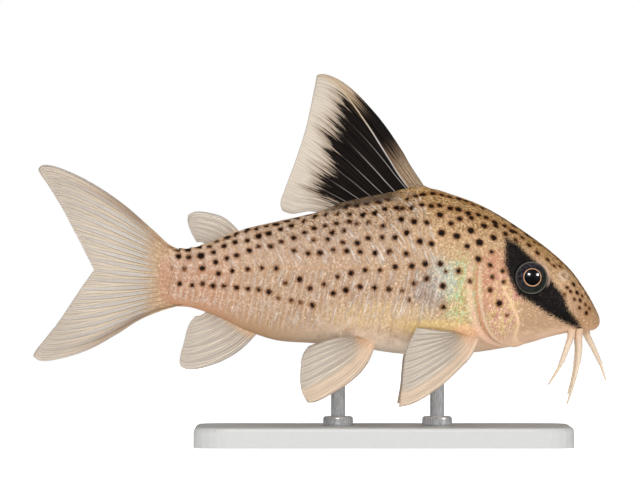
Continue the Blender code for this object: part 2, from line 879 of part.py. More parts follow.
def make_barbel(name, side, places, root_radius, material):
    """Fleshy feeler that leaves the lips straight down and tapers to its tip."""
    behind, across = places[0]
    lip = LIP_RADIUS + GAP
    root = (behind, across, belly_height(behind, across) - lip)
    course = [root, (behind, across, root[2] - 0.35)] + list(places[1:])
    steps = 12
    points = []
    radii = []
    for index in range(steps + 1):
        share = index / steps
        behind, across, height = curve_point(course, share)
        points.append(body_place(behind, side * across, height))
        radii.append((root_radius + (BARBEL_TIP_RADIUS - root_radius) * share ** 0.9) * MM)
    mesh = tube_mesh(name, points, radii, BARBEL_SIDES)
    return finish_node(name, mesh, material)


def make_stand_base(material):
    mesh = bpy.data.meshes.new("stand_base")
    shape = bmesh.new()
    bmesh.ops.create_cube(shape, size=1.0)
    for point in shape.verts:
        point.co.x = BASE_CENTRE_X + point.co.x * BASE_LENGTH
        point.co.y = point.co.y * BASE_WIDTH
        point.co.z = (point.co.z + 0.5) * BASE_THICK
    upright = [edge for edge in shape.edges if abs(edge.verts[0].co.z - edge.verts[1].co.z) > BASE_THICK / 2]
    bmesh.ops.bevel(shape, geom=upright, offset=BASE_CORNER, segments=6, profile=0.5, affect="EDGES")
    top = [edge for edge in shape.edges if min(point.co.z for point in edge.verts) > BASE_THICK * 0.9]
    bmesh.ops.bevel(shape, geom=top, offset=BASE_EDGE, segments=2, profile=0.5, affect="EDGES")
    shape.to_mesh(mesh)
    shape.free()
    return finish_node("stand_base", mesh, material)


def make_stand_rod(name, behind, material):
    """Upright rod from the base to the belly, a gap short of each."""
    low = BASE_THICK + GAP * MM
    high = AXIS_Z + (bottom_height(behind) - GAP) * MM
    mesh = bpy.data.meshes.new(name)
    shape = bmesh.new()
    bmesh.ops.create_cone(
        shape, cap_ends=True, segments=ROD_SIDES, radius1=ROD_RADIUS, radius2=ROD_RADIUS, depth=high - low
    )
    for point in shape.verts:
        point.co.x += SNOUT_X - behind * MM
        point.co.z += 0.5 * (low + high)
    shape.to_mesh(mesh)
    shape.free()
    return finish_node(name, mesh, material)


def build():
    clear_scene()
    flank = plain_material("flank_skin", (0.62, 0.50, 0.38), 0.35)
    cheek = plain_material("gill_cover_skin", (0.70, 0.52, 0.45), 0.3)
    fin = plain_material("fin_membrane", (0.68, 0.62, 0.56), 0.45)
    dark_fin = plain_material("dorsal_fin_membrane", (0.20, 0.18, 0.16), 0.45)
    barbel = plain_material("barbel_skin", (0.80, 0.66, 0.50), 0.4)
    eye = plain_material("eye", (0.03, 0.03, 0.035), 0.08)
    pale_base = plain_material("stand_base", (0.85, 0.85, 0.84), 0.4)
    steel = plain_material("stand_rod", (0.75, 0.76, 0.77), 0.25, 1.0)

    make_head(flank)
    make_trunk(flank)
    make_tail_stem(flank)
    for word, side in SIDES.items():
        low = GILL_PROUD - GILL_THICK
        plate = gill_plate_mesh("gill_cover_" + word, side, low, GILL_PROUD, 0.0, 0.2)
        finish_node("gill_cover_" + word, plate, cheek)
        finish_node("eye_" + word, eye_mesh("eye_" + word, side, 0.0), eye)
        make_paired_fin("pectoral_fin_" + word, pectoral_edges(), side, 0.45, 9, 0.62, fin)
        make_paired_fin("pelvic_fin_" + word, pelvic_edges(), side, 0.4, 6, 0.42, fin)
        make_barbel("barbel_chin_" + word, side, CHIN_BARBELS, 0.3, barbel)
    make_median_fin("dorsal_fin", dorsal_edges(), 9, 0.6, 0.5, 8, dark_fin)
    make_median_fin("adipose_fin", adipose_edges(), 3, 0.4, 0.4, 4, fin)
    make_median_fin("anal_fin", anal_edges(), 7, 0.42, 0.4, 6, fin)
    make_tail_fin(fin)
    for name, (side, places) in BARBELS.items():
        make_barbel(name, side, places, BARBEL_ROOT_RADIUS, barbel)
    make_stand_base(pale_base)
    make_stand_rod("stand_rod_front", ROD_FRONT_BEHIND, steel)
    make_stand_rod("stand_rod_rear", ROD_REAR_BEHIND, steel)


build()
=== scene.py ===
"""Looks of the spotted corydoras catfish: one skin, rayed fins, layered eyes, feelers and a stand.

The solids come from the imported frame, in metres, with +X towards the snout and +Y towards
the fish's left side.  Places on the fish are worked out as in the solids: a distance behind
the snout and a height over the body's axis, both in millimetres, and a turn in degrees
from the back at 0 round to the belly at 180.
"""
import math

import bmesh
import bpy
import numpy as np
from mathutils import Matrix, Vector


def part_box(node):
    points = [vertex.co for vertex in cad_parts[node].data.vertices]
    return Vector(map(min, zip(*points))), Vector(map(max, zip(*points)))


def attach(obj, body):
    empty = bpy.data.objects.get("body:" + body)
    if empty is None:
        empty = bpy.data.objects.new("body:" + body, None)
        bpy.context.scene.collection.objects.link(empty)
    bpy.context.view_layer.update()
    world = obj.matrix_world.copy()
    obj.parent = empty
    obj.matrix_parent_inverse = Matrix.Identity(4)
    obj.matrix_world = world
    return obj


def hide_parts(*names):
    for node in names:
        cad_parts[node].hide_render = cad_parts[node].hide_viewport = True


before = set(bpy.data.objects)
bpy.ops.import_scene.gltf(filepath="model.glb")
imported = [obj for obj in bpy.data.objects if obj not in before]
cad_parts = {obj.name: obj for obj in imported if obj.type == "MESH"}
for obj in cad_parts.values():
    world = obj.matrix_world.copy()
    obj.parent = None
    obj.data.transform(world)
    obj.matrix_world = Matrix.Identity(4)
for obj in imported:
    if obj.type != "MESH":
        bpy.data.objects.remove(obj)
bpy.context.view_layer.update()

MM = 0.001
BODY = "root"

# The model's place in the frame, as in the solids
SNOUT_X = 35.54
AXIS_Z = 18.6
RIGHT = -1
LEFT = 1
SIDES = {"right": RIGHT, "left": LEFT}

# The photograph's framing
PHOTO_WIDTH = 640.0
PIXEL_MM = 0.12727
PHOTO_MIDDLE_X = -0.06
PHOTO_MIDDLE_Z = 26.2

# Body: behind the snout, top, widest height, bottom, half width, upper and lower fullness
BODY_STATIONS = [
    (0.0, -2.8, -2.8, -2.8, 0.0, 2.0, 2.0),
    (0.6, -1.0, -2.6, -3.75, 1.5, 2.0, 2.2),
    (1.9, 1.3, -2.2, -4.0, 2.8, 2.0, 2.4),
    (3.8, 3.9, -1.4, -4.15, 3.9, 2.0, 2.5),
    (6.4, 6.3, -0.6, -4.7, 4.9, 1.95, 2.5),
    (9.5, 8.6, 0.2, -5.6, 5.8, 1.9, 2.5),
    (12.7, 10.7, 0.8, -6.2, 6.6, 1.85, 2.5),
    (15.3, 12.1, 1.2, -6.6, 7.0, 1.8, 2.5),
    (18.5, 13.3, 1.5, -6.9, 7.2, 1.75, 2.6),
    (22.0, 14.2, 1.8, -7.1, 7.1, 1.7, 2.6),
    (26.7, 13.3, 2.2, -6.7, 6.7, 1.7, 2.6),
    (31.8, 12.2, 2.5, -5.9, 6.0, 1.75, 2.5),
    (36.9, 10.9, 2.7, -5.5, 5.2, 1.8, 2.4),
    (41.4, 9.9, 2.7, -5.1, 4.3, 1.9, 2.3),
    (45.2, 9.0, 2.7, -3.8, 3.4, 2.0, 2.2),
    (49.0, 7.5, 2.7, -2.0, 2.5, 2.1, 2.2),
    (52.2, 6.55, 2.8, -0.95, 1.8, 2.2, 2.2),
    (54.2, 6.4, 2.8, -0.75, 1.45, 2.2, 2.2),
    (55.4, 5.9, 2.85, -0.2, 1.25, 2.2, 2.2),
    (56.0, 5.2, 2.9, 0.6, 1.15, 2.2, 2.2),
]
STEM_END = 56.0
STEM_BLUNT = 54.2

# Bony plates: first border, spacing, number of columns and the lateral line between the rows
PLATE_FIRST = 20.4
PLATE_PITCH = 1.55
PLATES = 22
PLATE_LIFT = 0.2
PLATE_TURNS = (2.0, 18.0, 126.0, 152.0)
PLATE_SLOPES = (0.0, 0.8, 0.93, 0.985)
LATERAL_TURN = 80.0
LATERAL_SCALE = 30.0
LATERAL_SINK = 0.75
LATERAL_WIDTH = 3.5
CHEVRON_FRONT = 3.4
CHEVRON_REAR = 0.6

# Mesh of the skin
HEAD_ROWS = 132
PLATE_PHASES = [0.0, 0.18, 0.36, 0.54, 0.72, 0.86, 0.93, 0.97]
END_ROWS = 10
SKIN_COLUMNS = 300

# Eye
EYE_BEHIND = 8.85
EYE_HEIGHT = 2.8
EYE_RADIUS = 2.2
EYE_DEPTH = 1.35
EYE_OUT = 0.8
EYE_SPLAY = 1.2
EYE_RIM = 0.12
SOCKET_DEPTH = 1.1

# Nostrils
NOSTRIL_BEHIND = 4.7
NOSTRIL_HEIGHT = 3.1
NOSTRIL_RIM = 0.2
NOSTRIL_DEPTH = 0.4

# Mouth under the snout
MOUTH_BEHIND = 4.4
MOUTH_RADIUS = 1.85
MOUTH_SWEEP = 74.0
MOUTH_BREADTH = 1.1
LIP_RISE = 0.34
LIP_PLACE = 0.36
LIP_WIDTH = 0.26
SLIT_DEPTH = 0.42
SLIT_WIDTH = 0.13

# Relief of the gill cover, of its grooves and of the shoulder behind it, and the turns where it ends
GILL_ENDS = (62.0, 84.0, 158.0, 170.0)
COVER_RISE = 0.34
GROOVE_DEPTH = 0.16
FRONT_DEPTH = 0.07
SHOULDER_RISE = 0.16

# Low ridge under the dorsal fin, and how far the end of the tail stem is pinched in
RIDGE_RISE = 0.45
RIDGE_WIDTH = 0.8
RIDGE_REACH = (21.4, 22.8, 33.0, 35.0)
STEM_PINCH = 0.84
# The end of the skin at the back and the belly lies ahead of the stem's end, and behind it on the flanks
STEM_SHORT = 0.6
STEM_FLARE = 0.9


def smooth_step(low, high, value):
    share = np.clip((value - low) / (high - low), 0.0, 1.0)
    return share * share * (3.0 - 2.0 * share)


def rise_and_fall(value, start, full, fall, end):
    """Share that rises from 0 at a start to 1, and falls to 0 again at an end."""
    return smooth_step(start, full, value) * (1.0 - smooth_step(fall, end, value))


def bump(distance, width):
    """A smooth hill of height 1 at distance 0."""
    return np.exp(-(distance / width) ** 2)


def lengths_along(points):
    """Length along a course from its first point to each point."""
    return np.concatenate([[0.0], np.cumsum(np.linalg.norm(np.diff(points, axis=0), axis=1))])


def through(knots, values, place):
    """Smooth curve through values at knots, by cubics that share slopes where they meet."""
    knots = np.asarray(knots, float)
    values = np.asarray(values, float)
    last = len(knots) - 1
    rises = np.diff(values, axis=0) / np.diff(knots).reshape((-1,) + (1,) * (values.ndim - 1))
    slopes = np.concatenate([rises[:1], 0.5 * (rises[:-1] + rises[1:]), rises[-1:]])
    place = np.clip(place, knots[0], knots[last])
    index = np.clip(np.searchsorted(knots, place, side="left") - 1, 0, last - 1)
    span = knots[index + 1] - knots[index]
    t = (place - knots[index]) / span
    if values.ndim > 1:
        span = span[..., None]
        t = t[..., None]
    result = (1.0 + 2.0 * t) * (1.0 - t) ** 2 * values[index]
    result = result + t * (1.0 - t) ** 2 * span * slopes[index]
    result = result + t * t * (3.0 - 2.0 * t) * values[index + 1]
    return result + t * t * (t - 1.0) * span * slopes[index + 1]


STATIONS = np.array(BODY_STATIONS)


def section(behind):
    """Top, widest height, bottom, half width and the two fullnesses at distances."""
    places = np.sqrt(np.maximum(behind, 0.0))
    found = through(np.sqrt(STATIONS[:, 0]), STATIONS[:, 1:], places)
    return [found[..., column] for column in range(6)]


def place_at(behind, across, height):
    """Points in the frame, in metres, of distances in millimetres."""
    behind, across, height = np.broadcast_arrays(behind, across, height)
    return np.stack([(SNOUT_X - behind) * MM, across * MM, (AXIS_Z + height) * MM], axis=-1)


def skin_place(behind, turn):
    """Points of the body's smooth surface."""
    top, widest, bottom, half, upper, lower = section(behind)
    out = np.sin(np.radians(turn))
    up = np.cos(np.radians(turn))
    fullness = np.where(up >= 0.0, upper, lower)
    reach = np.where(up >= 0.0, top - widest, widest - bottom)
    size = (np.abs(out) ** fullness + np.abs(up) ** fullness) ** (-1.0 / fullness)
    return place_at(behind, half * out * size, widest + reach * up * size)


def width_and_turn(behind, height):
    """Half width, and turn between 0 and 180, where the surface has a height."""
    top, widest, bottom, half, upper, lower = section(behind)
    above = height >= widest
    fullness = np.where(above, upper, lower)
    reach = np.where(above, top - widest, widest - bottom)
    share = np.clip(np.abs(height - widest) / reach, 0.0, 1.0)
    out = (1.0 - share ** fullness) ** (1.0 / fullness)
    return half * out, np.degrees(np.arctan2(out, np.where(above, share, -share)))


def belly_height(behind, across):
    widest, bottom, half, _, lower = section(behind)[1:]
    share = np.clip(np.abs(across) / half, 0.0, 1.0)
    return widest - (widest - bottom) * (1.0 - share ** lower) ** (1.0 / lower)


def skin_normal(behind, turn):
    step = 0.05
    near = np.maximum(behind, 2.0 * step)
    along = skin_place(near + step, turn) - skin_place(near - step, turn)
    around = skin_place(near, turn + 1.0) - skin_place(near, turn - 1.0)
    normal = np.cross(along, around)
    normal /= np.linalg.norm(normal, axis=-1, keepdims=True)
    out = skin_place(near, turn) - place_at(near, 0.0, section(near)[1])
    return np.where(np.sum(normal * out, axis=-1, keepdims=True) < 0.0, -normal, normal)


def flank_point(behind, height, side):
    """A point of the smooth surface on one side of the fish, and the way it faces."""
    behind = np.array([behind])
    turn = width_and_turn(behind, height)[1]
    mirror = np.array([1.0, side, 1.0])
    return skin_place(behind, turn)[0] * mirror, skin_normal(behind, turn)[0] * mirror


def folded_turn(turn):
    return np.abs((turn + 180.0) % 360.0 - 180.0)


def plate_border(number, turn):
    """Distance behind the snout of a plate column's front border, which points forward."""
    folded = folded_turn(turn)
    chevron = CHEVRON_FRONT + (CHEVRON_REAR - CHEVRON_FRONT) * (number / PLATES) ** 1.5
    above = (LATERAL_TURN - folded) / LATERAL_TURN
    below = (folded - LATERAL_TURN) / (180.0 - LATERAL_TURN)
    share = np.where(folded < LATERAL_TURN, above, below)
    return PLATE_FIRST + PLATE_PITCH * number + chevron * share


def plate_share(turn):
    """How much of the full lift a plate has at a turn: none on the ridge and the belly."""
    folded = folded_turn(turn)
    sink = LATERAL_SINK * bump(folded - LATERAL_TURN, LATERAL_WIDTH)
    return rise_and_fall(folded, *PLATE_TURNS) * (1.0 - sink)


def added(name, add, **sizes):
    """Object that one of Blender's mesh operators adds, named and alone selected."""
    for thing in bpy.context.selected_objects:
        thing.select_set(False)
    add(**sizes)
    piece = bpy.context.object
    piece.name = name
    piece.data.name = name
    return piece


def read_vectors(items, key):
    """Vectors of a mesh's points as rows."""
    flat = np.zeros(len(items) * 3)
    items.foreach_get(key, flat)
    return flat.reshape(-1, 3)


def keep_values(mesh, key, value):
    """Keep numbers or vectors on the points of a mesh, for its material."""
    is_vector = value.ndim == 2
    kept = mesh.attributes.new(key, "FLOAT_VECTOR" if is_vector else "FLOAT", "POINT")
    kept.data.foreach_set("vector" if is_vector else "value", value.ravel())


# Distance in metres within which the edges of a grid are welded
WELD = 1e-7


def wrapped_grid(name, rows, columns, place):
    """A grid added flat, then laid by place(row share, column share) and welded where it meets.

    The place function gives points in metres and a dictionary of values kept on the points.
    """
    piece = added(name, bpy.ops.mesh.primitive_grid_add, x_subdivisions=rows, y_subdivisions=columns,
                  size=1.0)
    mesh = piece.data
    mesh.uv_layers[0].name = "OFBake"
    flat = read_vectors(mesh.vertices, "co")
    down = np.rint((flat[:, 0] + 0.5) * rows) / rows
    over = np.rint((flat[:, 1] + 0.5) * columns) / columns
    points, values = place(down, over)
    mesh.vertices.foreach_set("co", points.ravel())
    for key, value in values.items():
        keep_values(mesh, key, value)
    bpy.ops.object.mode_set(mode="EDIT")
    bpy.ops.mesh.select_all(action="SELECT")
    bpy.ops.mesh.remove_doubles(threshold=WELD)
    bpy.ops.object.mode_set(mode="OBJECT")
    face_outwards(mesh)
    bpy.ops.object.shade_smooth()
    return piece


def face_outwards(mesh):
    """Take out the loose corners where two seams meet, and turn the faces of a closed shell outwards."""
    shell = bmesh.new()
    shell.from_mesh(mesh)
    corners = [vertex for vertex in shell.verts if len(vertex.link_edges) == 2]
    bmesh.ops.dissolve_verts(shell, verts=corners)
    bmesh.ops.recalc_face_normals(shell, faces=shell.faces[:])
    if shell.calc_volume(signed=True) < 0.0:
        bmesh.ops.reverse_faces(shell, faces=shell.faces[:])
    shell.to_mesh(mesh)
    shell.free()


def finish_piece(piece, material, slot, *nodes):
    """Give a piece its material and its body, and hide the solids that it stands for; its slot is not used.
    """
    piece.data.materials.clear()
    piece.data.materials.append(material)
    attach(piece, BODY)
    if nodes:
        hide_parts(*nodes)


# Markings

# Rows of dark spots: behind and height along the row, number of spots and their radius
SPOT_ROWS = [
    ([(53.7, 6.4), (50.1, 6.7), (46.2, 8.3), (42.8, 9.2),
      (38.5, 10.3), (34.3, 11.6), (30.9, 12.0), (27.0, 12.6)], 22, 0.47),
    ([(53.7, 5.5), (50.9, 5.6), (47.1, 7.0), (43.2, 8.0),
      (39.5, 9.4), (34.3, 10.8), (30.4, 10.7), (25.8, 11.8)], 20, 0.46),
    ([(48.9, 4.9), (46.4, 5.6), (43.8, 6.5), (40.9, 7.1), (37.7, 8.4), (34.9, 9.4), (32.0, 9.9)], 13, 0.4),
    ([(54.7, 4.1), (50.6, 4.0)], 3, 0.4),
    ([(48.4, 3.3), (45.3, 3.8), (41.2, 4.1)], 5, 0.34),
    ([(38.9, 6.2), (36.2, 5.75), (33.8, 6.3), (32.2, 6.3), (28.7, 5.9)], 7, 0.42),
    ([(36.4, 7.6), (33.0, 7.4), (30.8, 7.2), (29.2, 8.0), (27.6, 7.9)], 6, 0.42),
    ([(34.1, 8.4), (32.4, 8.8), (31.2, 9.4), (29.1, 9.9), (27.7, 9.3)], 5, 0.44),
    ([(53.4, 2.0), (50.1, 1.9), (46.1, 1.5), (43.1, 1.4), (40.5, 0.2), (36.5, -0.7)], 13, 0.38),
    ([(40.0, 2.2), (38.3, 2.6), (37.2, 1.6), (35.4, 2.1), (34.1, 0.9), (30.5, 1.6), (26.9, 1.4)], 9, 0.42),
    ([(33.5, 3.1), (31.6, 3.4), (29.8, 3.8), (27.9, 3.9)], 4, 0.42),
    ([(24.6, 12.8), (21.8, 13.5), (18.0, 12.8), (14.1, 11.3), (10.8, 9.4), (7.4, 7.0)], 18, 0.45),
    ([(25.2, 11.6), (21.8, 12.0), (18.0, 11.4), (14.1, 10.2), (11.2, 8.7)], 13, 0.44),
    ([(9.4, 8.2), (6.6, 6.2), (4.2, 4.1), (2.2, 1.7), (1.0, -0.4)], 18, 0.28),
]
# Larger single spots from the nape to the gill cover: behind, height and radius
LONE_SPOTS = [
    (26.8, 6.1, 0.42), (26.1, 7.9, 0.42), (25.3, 10.2, 0.46), (24.6, 8.5, 0.44), (24.7, 5.8, 0.42),
    (23.7, 9.9, 0.48), (23.0, 7.4, 0.46), (22.1, 9.8, 0.42), (21.5, 7.1, 0.44), (20.4, 10.8, 0.5),
    (20.2, 8.5, 0.54), (19.0, 9.7, 0.42), (18.3, 8.1, 0.5), (17.9, 10.3, 0.44), (17.0, 6.8, 0.4),
    (16.5, 8.8, 0.52), (16.4, 10.4, 0.42), (15.6, 5.2, 0.46), (15.4, 7.3, 0.56), (14.8, 9.4, 0.5),
    (13.9, 6.1, 0.3), (13.6, 7.9, 0.5), (13.3, 9.4, 0.42), (12.1, 8.4, 0.42), (14.1, 4.4, 0.36),
    (13.9, 2.9, 0.36), (14.2, 1.3, 0.44), (13.0, -0.4, 0.5), (13.7, -1.9, 0.24), (12.0, -1.9, 0.22),
    (12.5, 3.7, 0.3), (12.4, 2.3, 0.28), (20.4, 4.6, 0.42), (22.3, 4.6, 0.44), (24.0, 4.3, 0.42),
    (26.1, 4.2, 0.4), (19.7, 3.6, 0.26), (18.1, 3.7, 0.38), (16.7, 2.4, 0.36), (20.1, 1.8, 0.44),
    (22.1, 2.7, 0.4), (23.7, 2.1, 0.36), (20.0, -0.9, 0.34), (25.2, 1.2, 0.3), (24.3, 0.0, 0.24),
    (10.8, 8.6, 0.36), (10.8, 7.6, 0.34), (9.9, 7.9, 0.36), (9.1, 6.95, 0.38), (8.0, 5.95, 0.38),
    (6.7, 5.1, 0.32), (5.9, 4.3, 0.27), (5.15, 4.25, 0.27), (4.25, 1.55, 0.26), (3.8, 1.05, 0.27),
    (3.4, 1.95, 0.36), (2.95, 0.9, 0.36), (3.35, 0.1, 0.26), (2.6, -0.05, 0.3), (1.8, -1.65, 0.3),
    (2.3, 0.5, 0.25), (1.9, -0.6, 0.26), (2.7, -1.0, 0.24), (1.4, -1.1, 0.26), (4.6, 0.7, 0.22),
]
SPOT_SEED = 11
SPOT_SHIFT = 0.14
SPOT_SIZE = 0.88
SPOT_SCALES = (0.75, 1.15)
FAR_DRIFT = 4.0
SPOT_SEARCH = 3.0

# The black mask through the eye, as an outline of behind and height
MASK_OUTLINE = [
    (12.1, 7.9), (12.2, 4.6), (11.5, 2.4), (10.6, 0.7), (8.8, -0.3), (6.4, -1.9), (3.8, -3.2), (2.4, -3.8),
    (2.9, -2.7), (4.1, -1.3), (4.8, 0.6), (6.5, 2.7), (8.8, 5.3), (10.6, 7.1),
]

# Rear edge of the gill cover and its front groove: turn and distance behind the snout
GILL_EDGE = [
    (62.0, 14.6), (76.0, 15.7), (104.0, 15.6), (124.0, 14.8), (140.0, 13.5), (152.0, 12.0), (166.0, 10.4),
]
GILL_FRONT = [(62.0, 13.4), (84.0, 12.4), (104.0, 11.1), (120.0, 10.5), (140.0, 10.8), (166.0, 9.4)]


def spot_list():
    """Every spot as behind, height, radius and side, the left side drawn anew."""
    draw = np.random.default_rng(SPOT_SEED)
    spots = []
    for side in (RIGHT, LEFT):
        for points, count, radius in SPOT_ROWS:
            lengths = lengths_along(points)
            row = through(lengths, points, np.linspace(0.0, lengths[-1], count))
            row = row + draw.uniform(-SPOT_SHIFT, SPOT_SHIFT, row.shape)
            sizes = SPOT_SIZE * radius * draw.uniform(*SPOT_SCALES, count)
            spots += [(*place, size, side) for place, size in zip(row, sizes)]
        drift = 0.0 if side == RIGHT else FAR_DRIFT * SPOT_SHIFT
        for behind, height, radius in LONE_SPOTS:
            place = (behind + drift * draw.uniform(-1, 1), height + drift * draw.uniform(-1, 1))
            spots.append((*place, SPOT_SIZE * radius, side))
    return spots


def spot_distance(points):
    """Distance in millimetres from points to the edge of the nearest spot, negative inside."""
    nearest = np.full(len(points), SPOT_SEARCH)
    for behind, height, radius, side in spot_list():
        top, _, bottom = section(np.array([behind]))[:3]
        centre = flank_point(behind, np.clip(height, bottom + 0.05, top - 0.05), side)[0]
        close = np.where(np.abs(points[:, 0] - centre[0]) < SPOT_SEARCH * MM)[0]
        away = np.linalg.norm(points[close] - centre, axis=1) / MM - radius
        nearest[close] = np.minimum(nearest[close], away)
    return nearest


def outline_distance(outline, behind, height):
    """Distance to a closed outline in the side view, negative inside."""
    corners = np.array(outline)
    nearest = np.full(behind.shape, 1e9)
    inside = np.zeros(behind.shape, bool)
    for first, second in zip(corners, np.roll(corners, -1, axis=0)):
        edge = second - first
        share = ((behind - first[0]) * edge[0] + (height - first[1]) * edge[1]) / np.dot(edge, edge)
        share = np.clip(share, 0.0, 1.0)
        away = np.hypot(behind - first[0] - share * edge[0], height - first[1] - share * edge[1])
        nearest = np.minimum(nearest, away)
        crosses = (first[1] > height) != (second[1] > height)
        rise = edge[1] if abs(edge[1]) > 1e-9 else 1e-9
        crosses &= behind < edge[0] * (height - first[1]) / rise + first[0]
        inside ^= crosses
    return np.where(inside, -nearest, nearest)


# Skin

def skin_rows():
    """Row places as a share of the head, then plate numbers with phases, then the end."""
    rows = [("head", (index / HEAD_ROWS) ** 1.5) for index in range(HEAD_ROWS)]
    for number in range(PLATES):
        rows += [("plate", number + phase) for phase in PLATE_PHASES]
    rows += [("end", index / END_ROWS) for index in range(END_ROWS + 1)]
    return rows


def eye_place(side):
    """Centre of an eyeball and the way that the eye looks."""
    point, normal = flank_point(EYE_BEHIND, EYE_HEIGHT, side)
    axis = normal + [0.0, EYE_SPLAY * side, 0.0]
    axis /= np.linalg.norm(axis)
    return point - axis * (EYE_DEPTH - EYE_OUT) * MM, axis


def socket_lift(points):
    """How far the skin rises and sinks round both eyes, in millimetres."""
    lift = np.zeros(len(points))
    for side in SIDES.values():
        centre, axis = eye_place(side)
        away = (points - centre) / MM
        along = away @ axis
        radius = np.linalg.norm(away - along[:, None] * axis, axis=1)
        rim = EYE_RIM * bump(radius - EYE_RADIUS - 0.25, 0.3)
        sink = SOCKET_DEPTH * (1.0 - smooth_step(EYE_RADIUS - 0.45, EYE_RADIUS + 0.02, radius))
        lift += np.where(along > -3.0, rim - sink, 0.0)
    return lift


def nostril_lift(points):
    lift = np.zeros(len(points))
    for side in SIDES.values():
        centre = flank_point(NOSTRIL_BEHIND, NOSTRIL_HEIGHT, side)[0]
        away = np.linalg.norm(points - centre, axis=1) / MM
        lift += NOSTRIL_RIM * bump(away - 0.5, 0.16) - NOSTRIL_DEPTH * bump(away, 0.26)
    return lift


def mouth_lift(behind, across, below):
    """Lips and slit of the mouth under the snout."""
    forward = MOUTH_BEHIND - behind
    sideways = across / MOUTH_BREADTH
    angle = np.degrees(np.arctan2(np.abs(sideways), forward))
    ends = 1.0 - smooth_step(MOUTH_SWEEP - 4.0, MOUTH_SWEEP + 14.0, angle)
    line = np.hypot(forward, sideways) - MOUTH_RADIUS
    lips = bump(line - LIP_PLACE, LIP_WIDTH) + bump(line + LIP_PLACE, LIP_WIDTH)
    return (LIP_RISE * lips - SLIT_DEPTH * bump(line, SLIT_WIDTH)) * ends * below


def gill_places(behind, turn):
    """Distances behind the gill cover's rear edge and behind its front groove, and its share."""
    folded = folded_turn(turn)
    edge = through(*zip(*GILL_EDGE), folded)
    front = through(*zip(*GILL_FRONT), folded)
    return np.stack([behind - edge, behind - front, rise_and_fall(folded, *GILL_ENDS)], axis=-1)


def gill_lift(behind, turn):
    """Gill cover that stands proud to its rear edge, the groove behind it and the shoulder rim."""
    from_edge, from_front, ends = gill_places(behind, turn).T
    edge = behind - from_edge
    cover = COVER_RISE * smooth_step(behind - from_front - 0.2, edge - 0.4, behind)
    cover *= 1.0 - smooth_step(edge - 0.1, edge + 0.12, behind)
    groove = GROOVE_DEPTH * bump(from_edge - 0.3, 0.28) + FRONT_DEPTH * bump(from_front, 0.22)
    rim = SHOULDER_RISE * bump(from_edge - 1.0, 0.45)
    return (cover - groove + rim) * ends


def skin_lift(points, behind, turn, across, share, kinds):
    """Relief of the skin in millimetres: plates, gill cover, mouth, nostrils, eyes and the back's ridge."""
    folded = folded_turn(turn)
    rise = rise_and_fall(share - np.floor(share), *PLATE_SLOPES)
    lift = np.where(kinds == "plate", PLATE_LIFT * plate_share(turn) * rise, 0.0)
    below = smooth_step(100.0, 135.0, folded)
    head = gill_lift(behind, turn) + mouth_lift(behind, across, below)
    head = head + nostril_lift(points) + socket_lift(points)
    ridge = RIDGE_RISE * bump(across, RIDGE_WIDTH) * rise_and_fall(behind, *RIDGE_REACH) * (folded < 60.0)
    return lift + np.where(kinds == "head", head, 0.0) + ridge


def place_skin(down, over):
    rows = skin_rows()
    number = np.rint(down * (len(rows) - 1)).astype(int)
    turn = over * 360.0
    kinds, share = [np.array(column)[number] for column in zip(*rows)]
    column = np.floor(share)
    phase = share - column
    last = plate_border(PLATES, turn)
    plated = plate_border(column, turn) * (1.0 - phase) + plate_border(column + 1.0, turn) * phase
    flare = STEM_END - STEM_SHORT + STEM_FLARE * np.sin(np.radians(turn)) ** 2
    ending = last + (flare - last) * share
    behind = np.select([kinds == "head", kinds == "plate"], [plate_border(0.0, turn) * share, plated], ending)
    points = skin_place(np.minimum(behind, STEM_BLUNT), turn)
    points[:, 0] = (SNOUT_X - behind) * MM
    points[:, 1] *= 1.0 - STEM_PINCH * smooth_step(53.0, 56.4, behind)
    height = points[:, 2] / MM - AXIS_Z
    lift = skin_lift(points, behind, turn, points[:, 1] / MM, share, kinds)
    points = points + skin_normal(behind, turn) * (lift * MM)[:, None]
    points[(kinds == "end") & (share >= 1.0), 1] = 0.0
    plate_number = np.select([kinds == "head", kinds == "plate"], [0.0, share], PLATES)
    folded = folded_turn(turn)
    lateral = (folded - LATERAL_TURN) / 180.0 * LATERAL_SCALE
    values = {
        "spots": spot_distance(points),
        "mask": outline_distance(MASK_OUTLINE, behind, height),
        "plates": np.stack([plate_number, lateral, plate_share(turn) * (kinds == "plate")], axis=-1),
        "body": np.stack([behind, height, folded], axis=-1),
        "gill": gill_places(behind, turn),
    }
    return points, values


def make_skin(material):
    skin = wrapped_grid("fish_skin", len(skin_rows()) - 1, SKIN_COLUMNS, place_skin)
    nodes = ("head", "trunk", "tail_stem", "gill_cover_right", "gill_cover_left")
    finish_piece(skin, material, "skin", *nodes)


# Fins

# How soon rays straighten away from the curved edge beside them
RAY_BEND = 2.2
TAIL_BEND = 2.5
DORSAL_BEND = 3.6
# Below 1, the leading rays of a paired fin take more of its root
ROOT_CROWD = 0.62
# How deep the roots of the fins on the back and the belly lie in the body
ROOT_SUNK = 0.7

# Half thickness of membranes and rays, with the spine's reach counted in rays
MEMBRANE = 0.1
RAY_RISE = 0.17
RAY_SINKING = 0.6
RAY_WIDTH = 0.16
RAY_THINNING = 0.1
SPINE_FULL = 0.2
SPINE_END = 1.1
SPINE_THINNING = 0.7
FLESH_REACH = 0.3
# Where along a fin its rays fork, and how far their branches part
FIRST_FORK = 0.25
SECOND_FORK = 0.5
FIRST_PARTING = 0.21
SECOND_PARTING = 0.105
# Shares of a length over which a root, a fin's margin and a feeler's tip close
ROOT_CLOSE = 0.006
MARGIN_CLOSE = 0.02
TIP_CLOSE = 0.03
# How much of a ray's spacing a fin's side edges take to close
EDGE_ROUND = 0.22
# Where in a lobe of the tail the middle web starts, and how near its middle edge comes to closing
MIDDLE_WEB = 0.9
MIDDLE_OPEN = 0.999


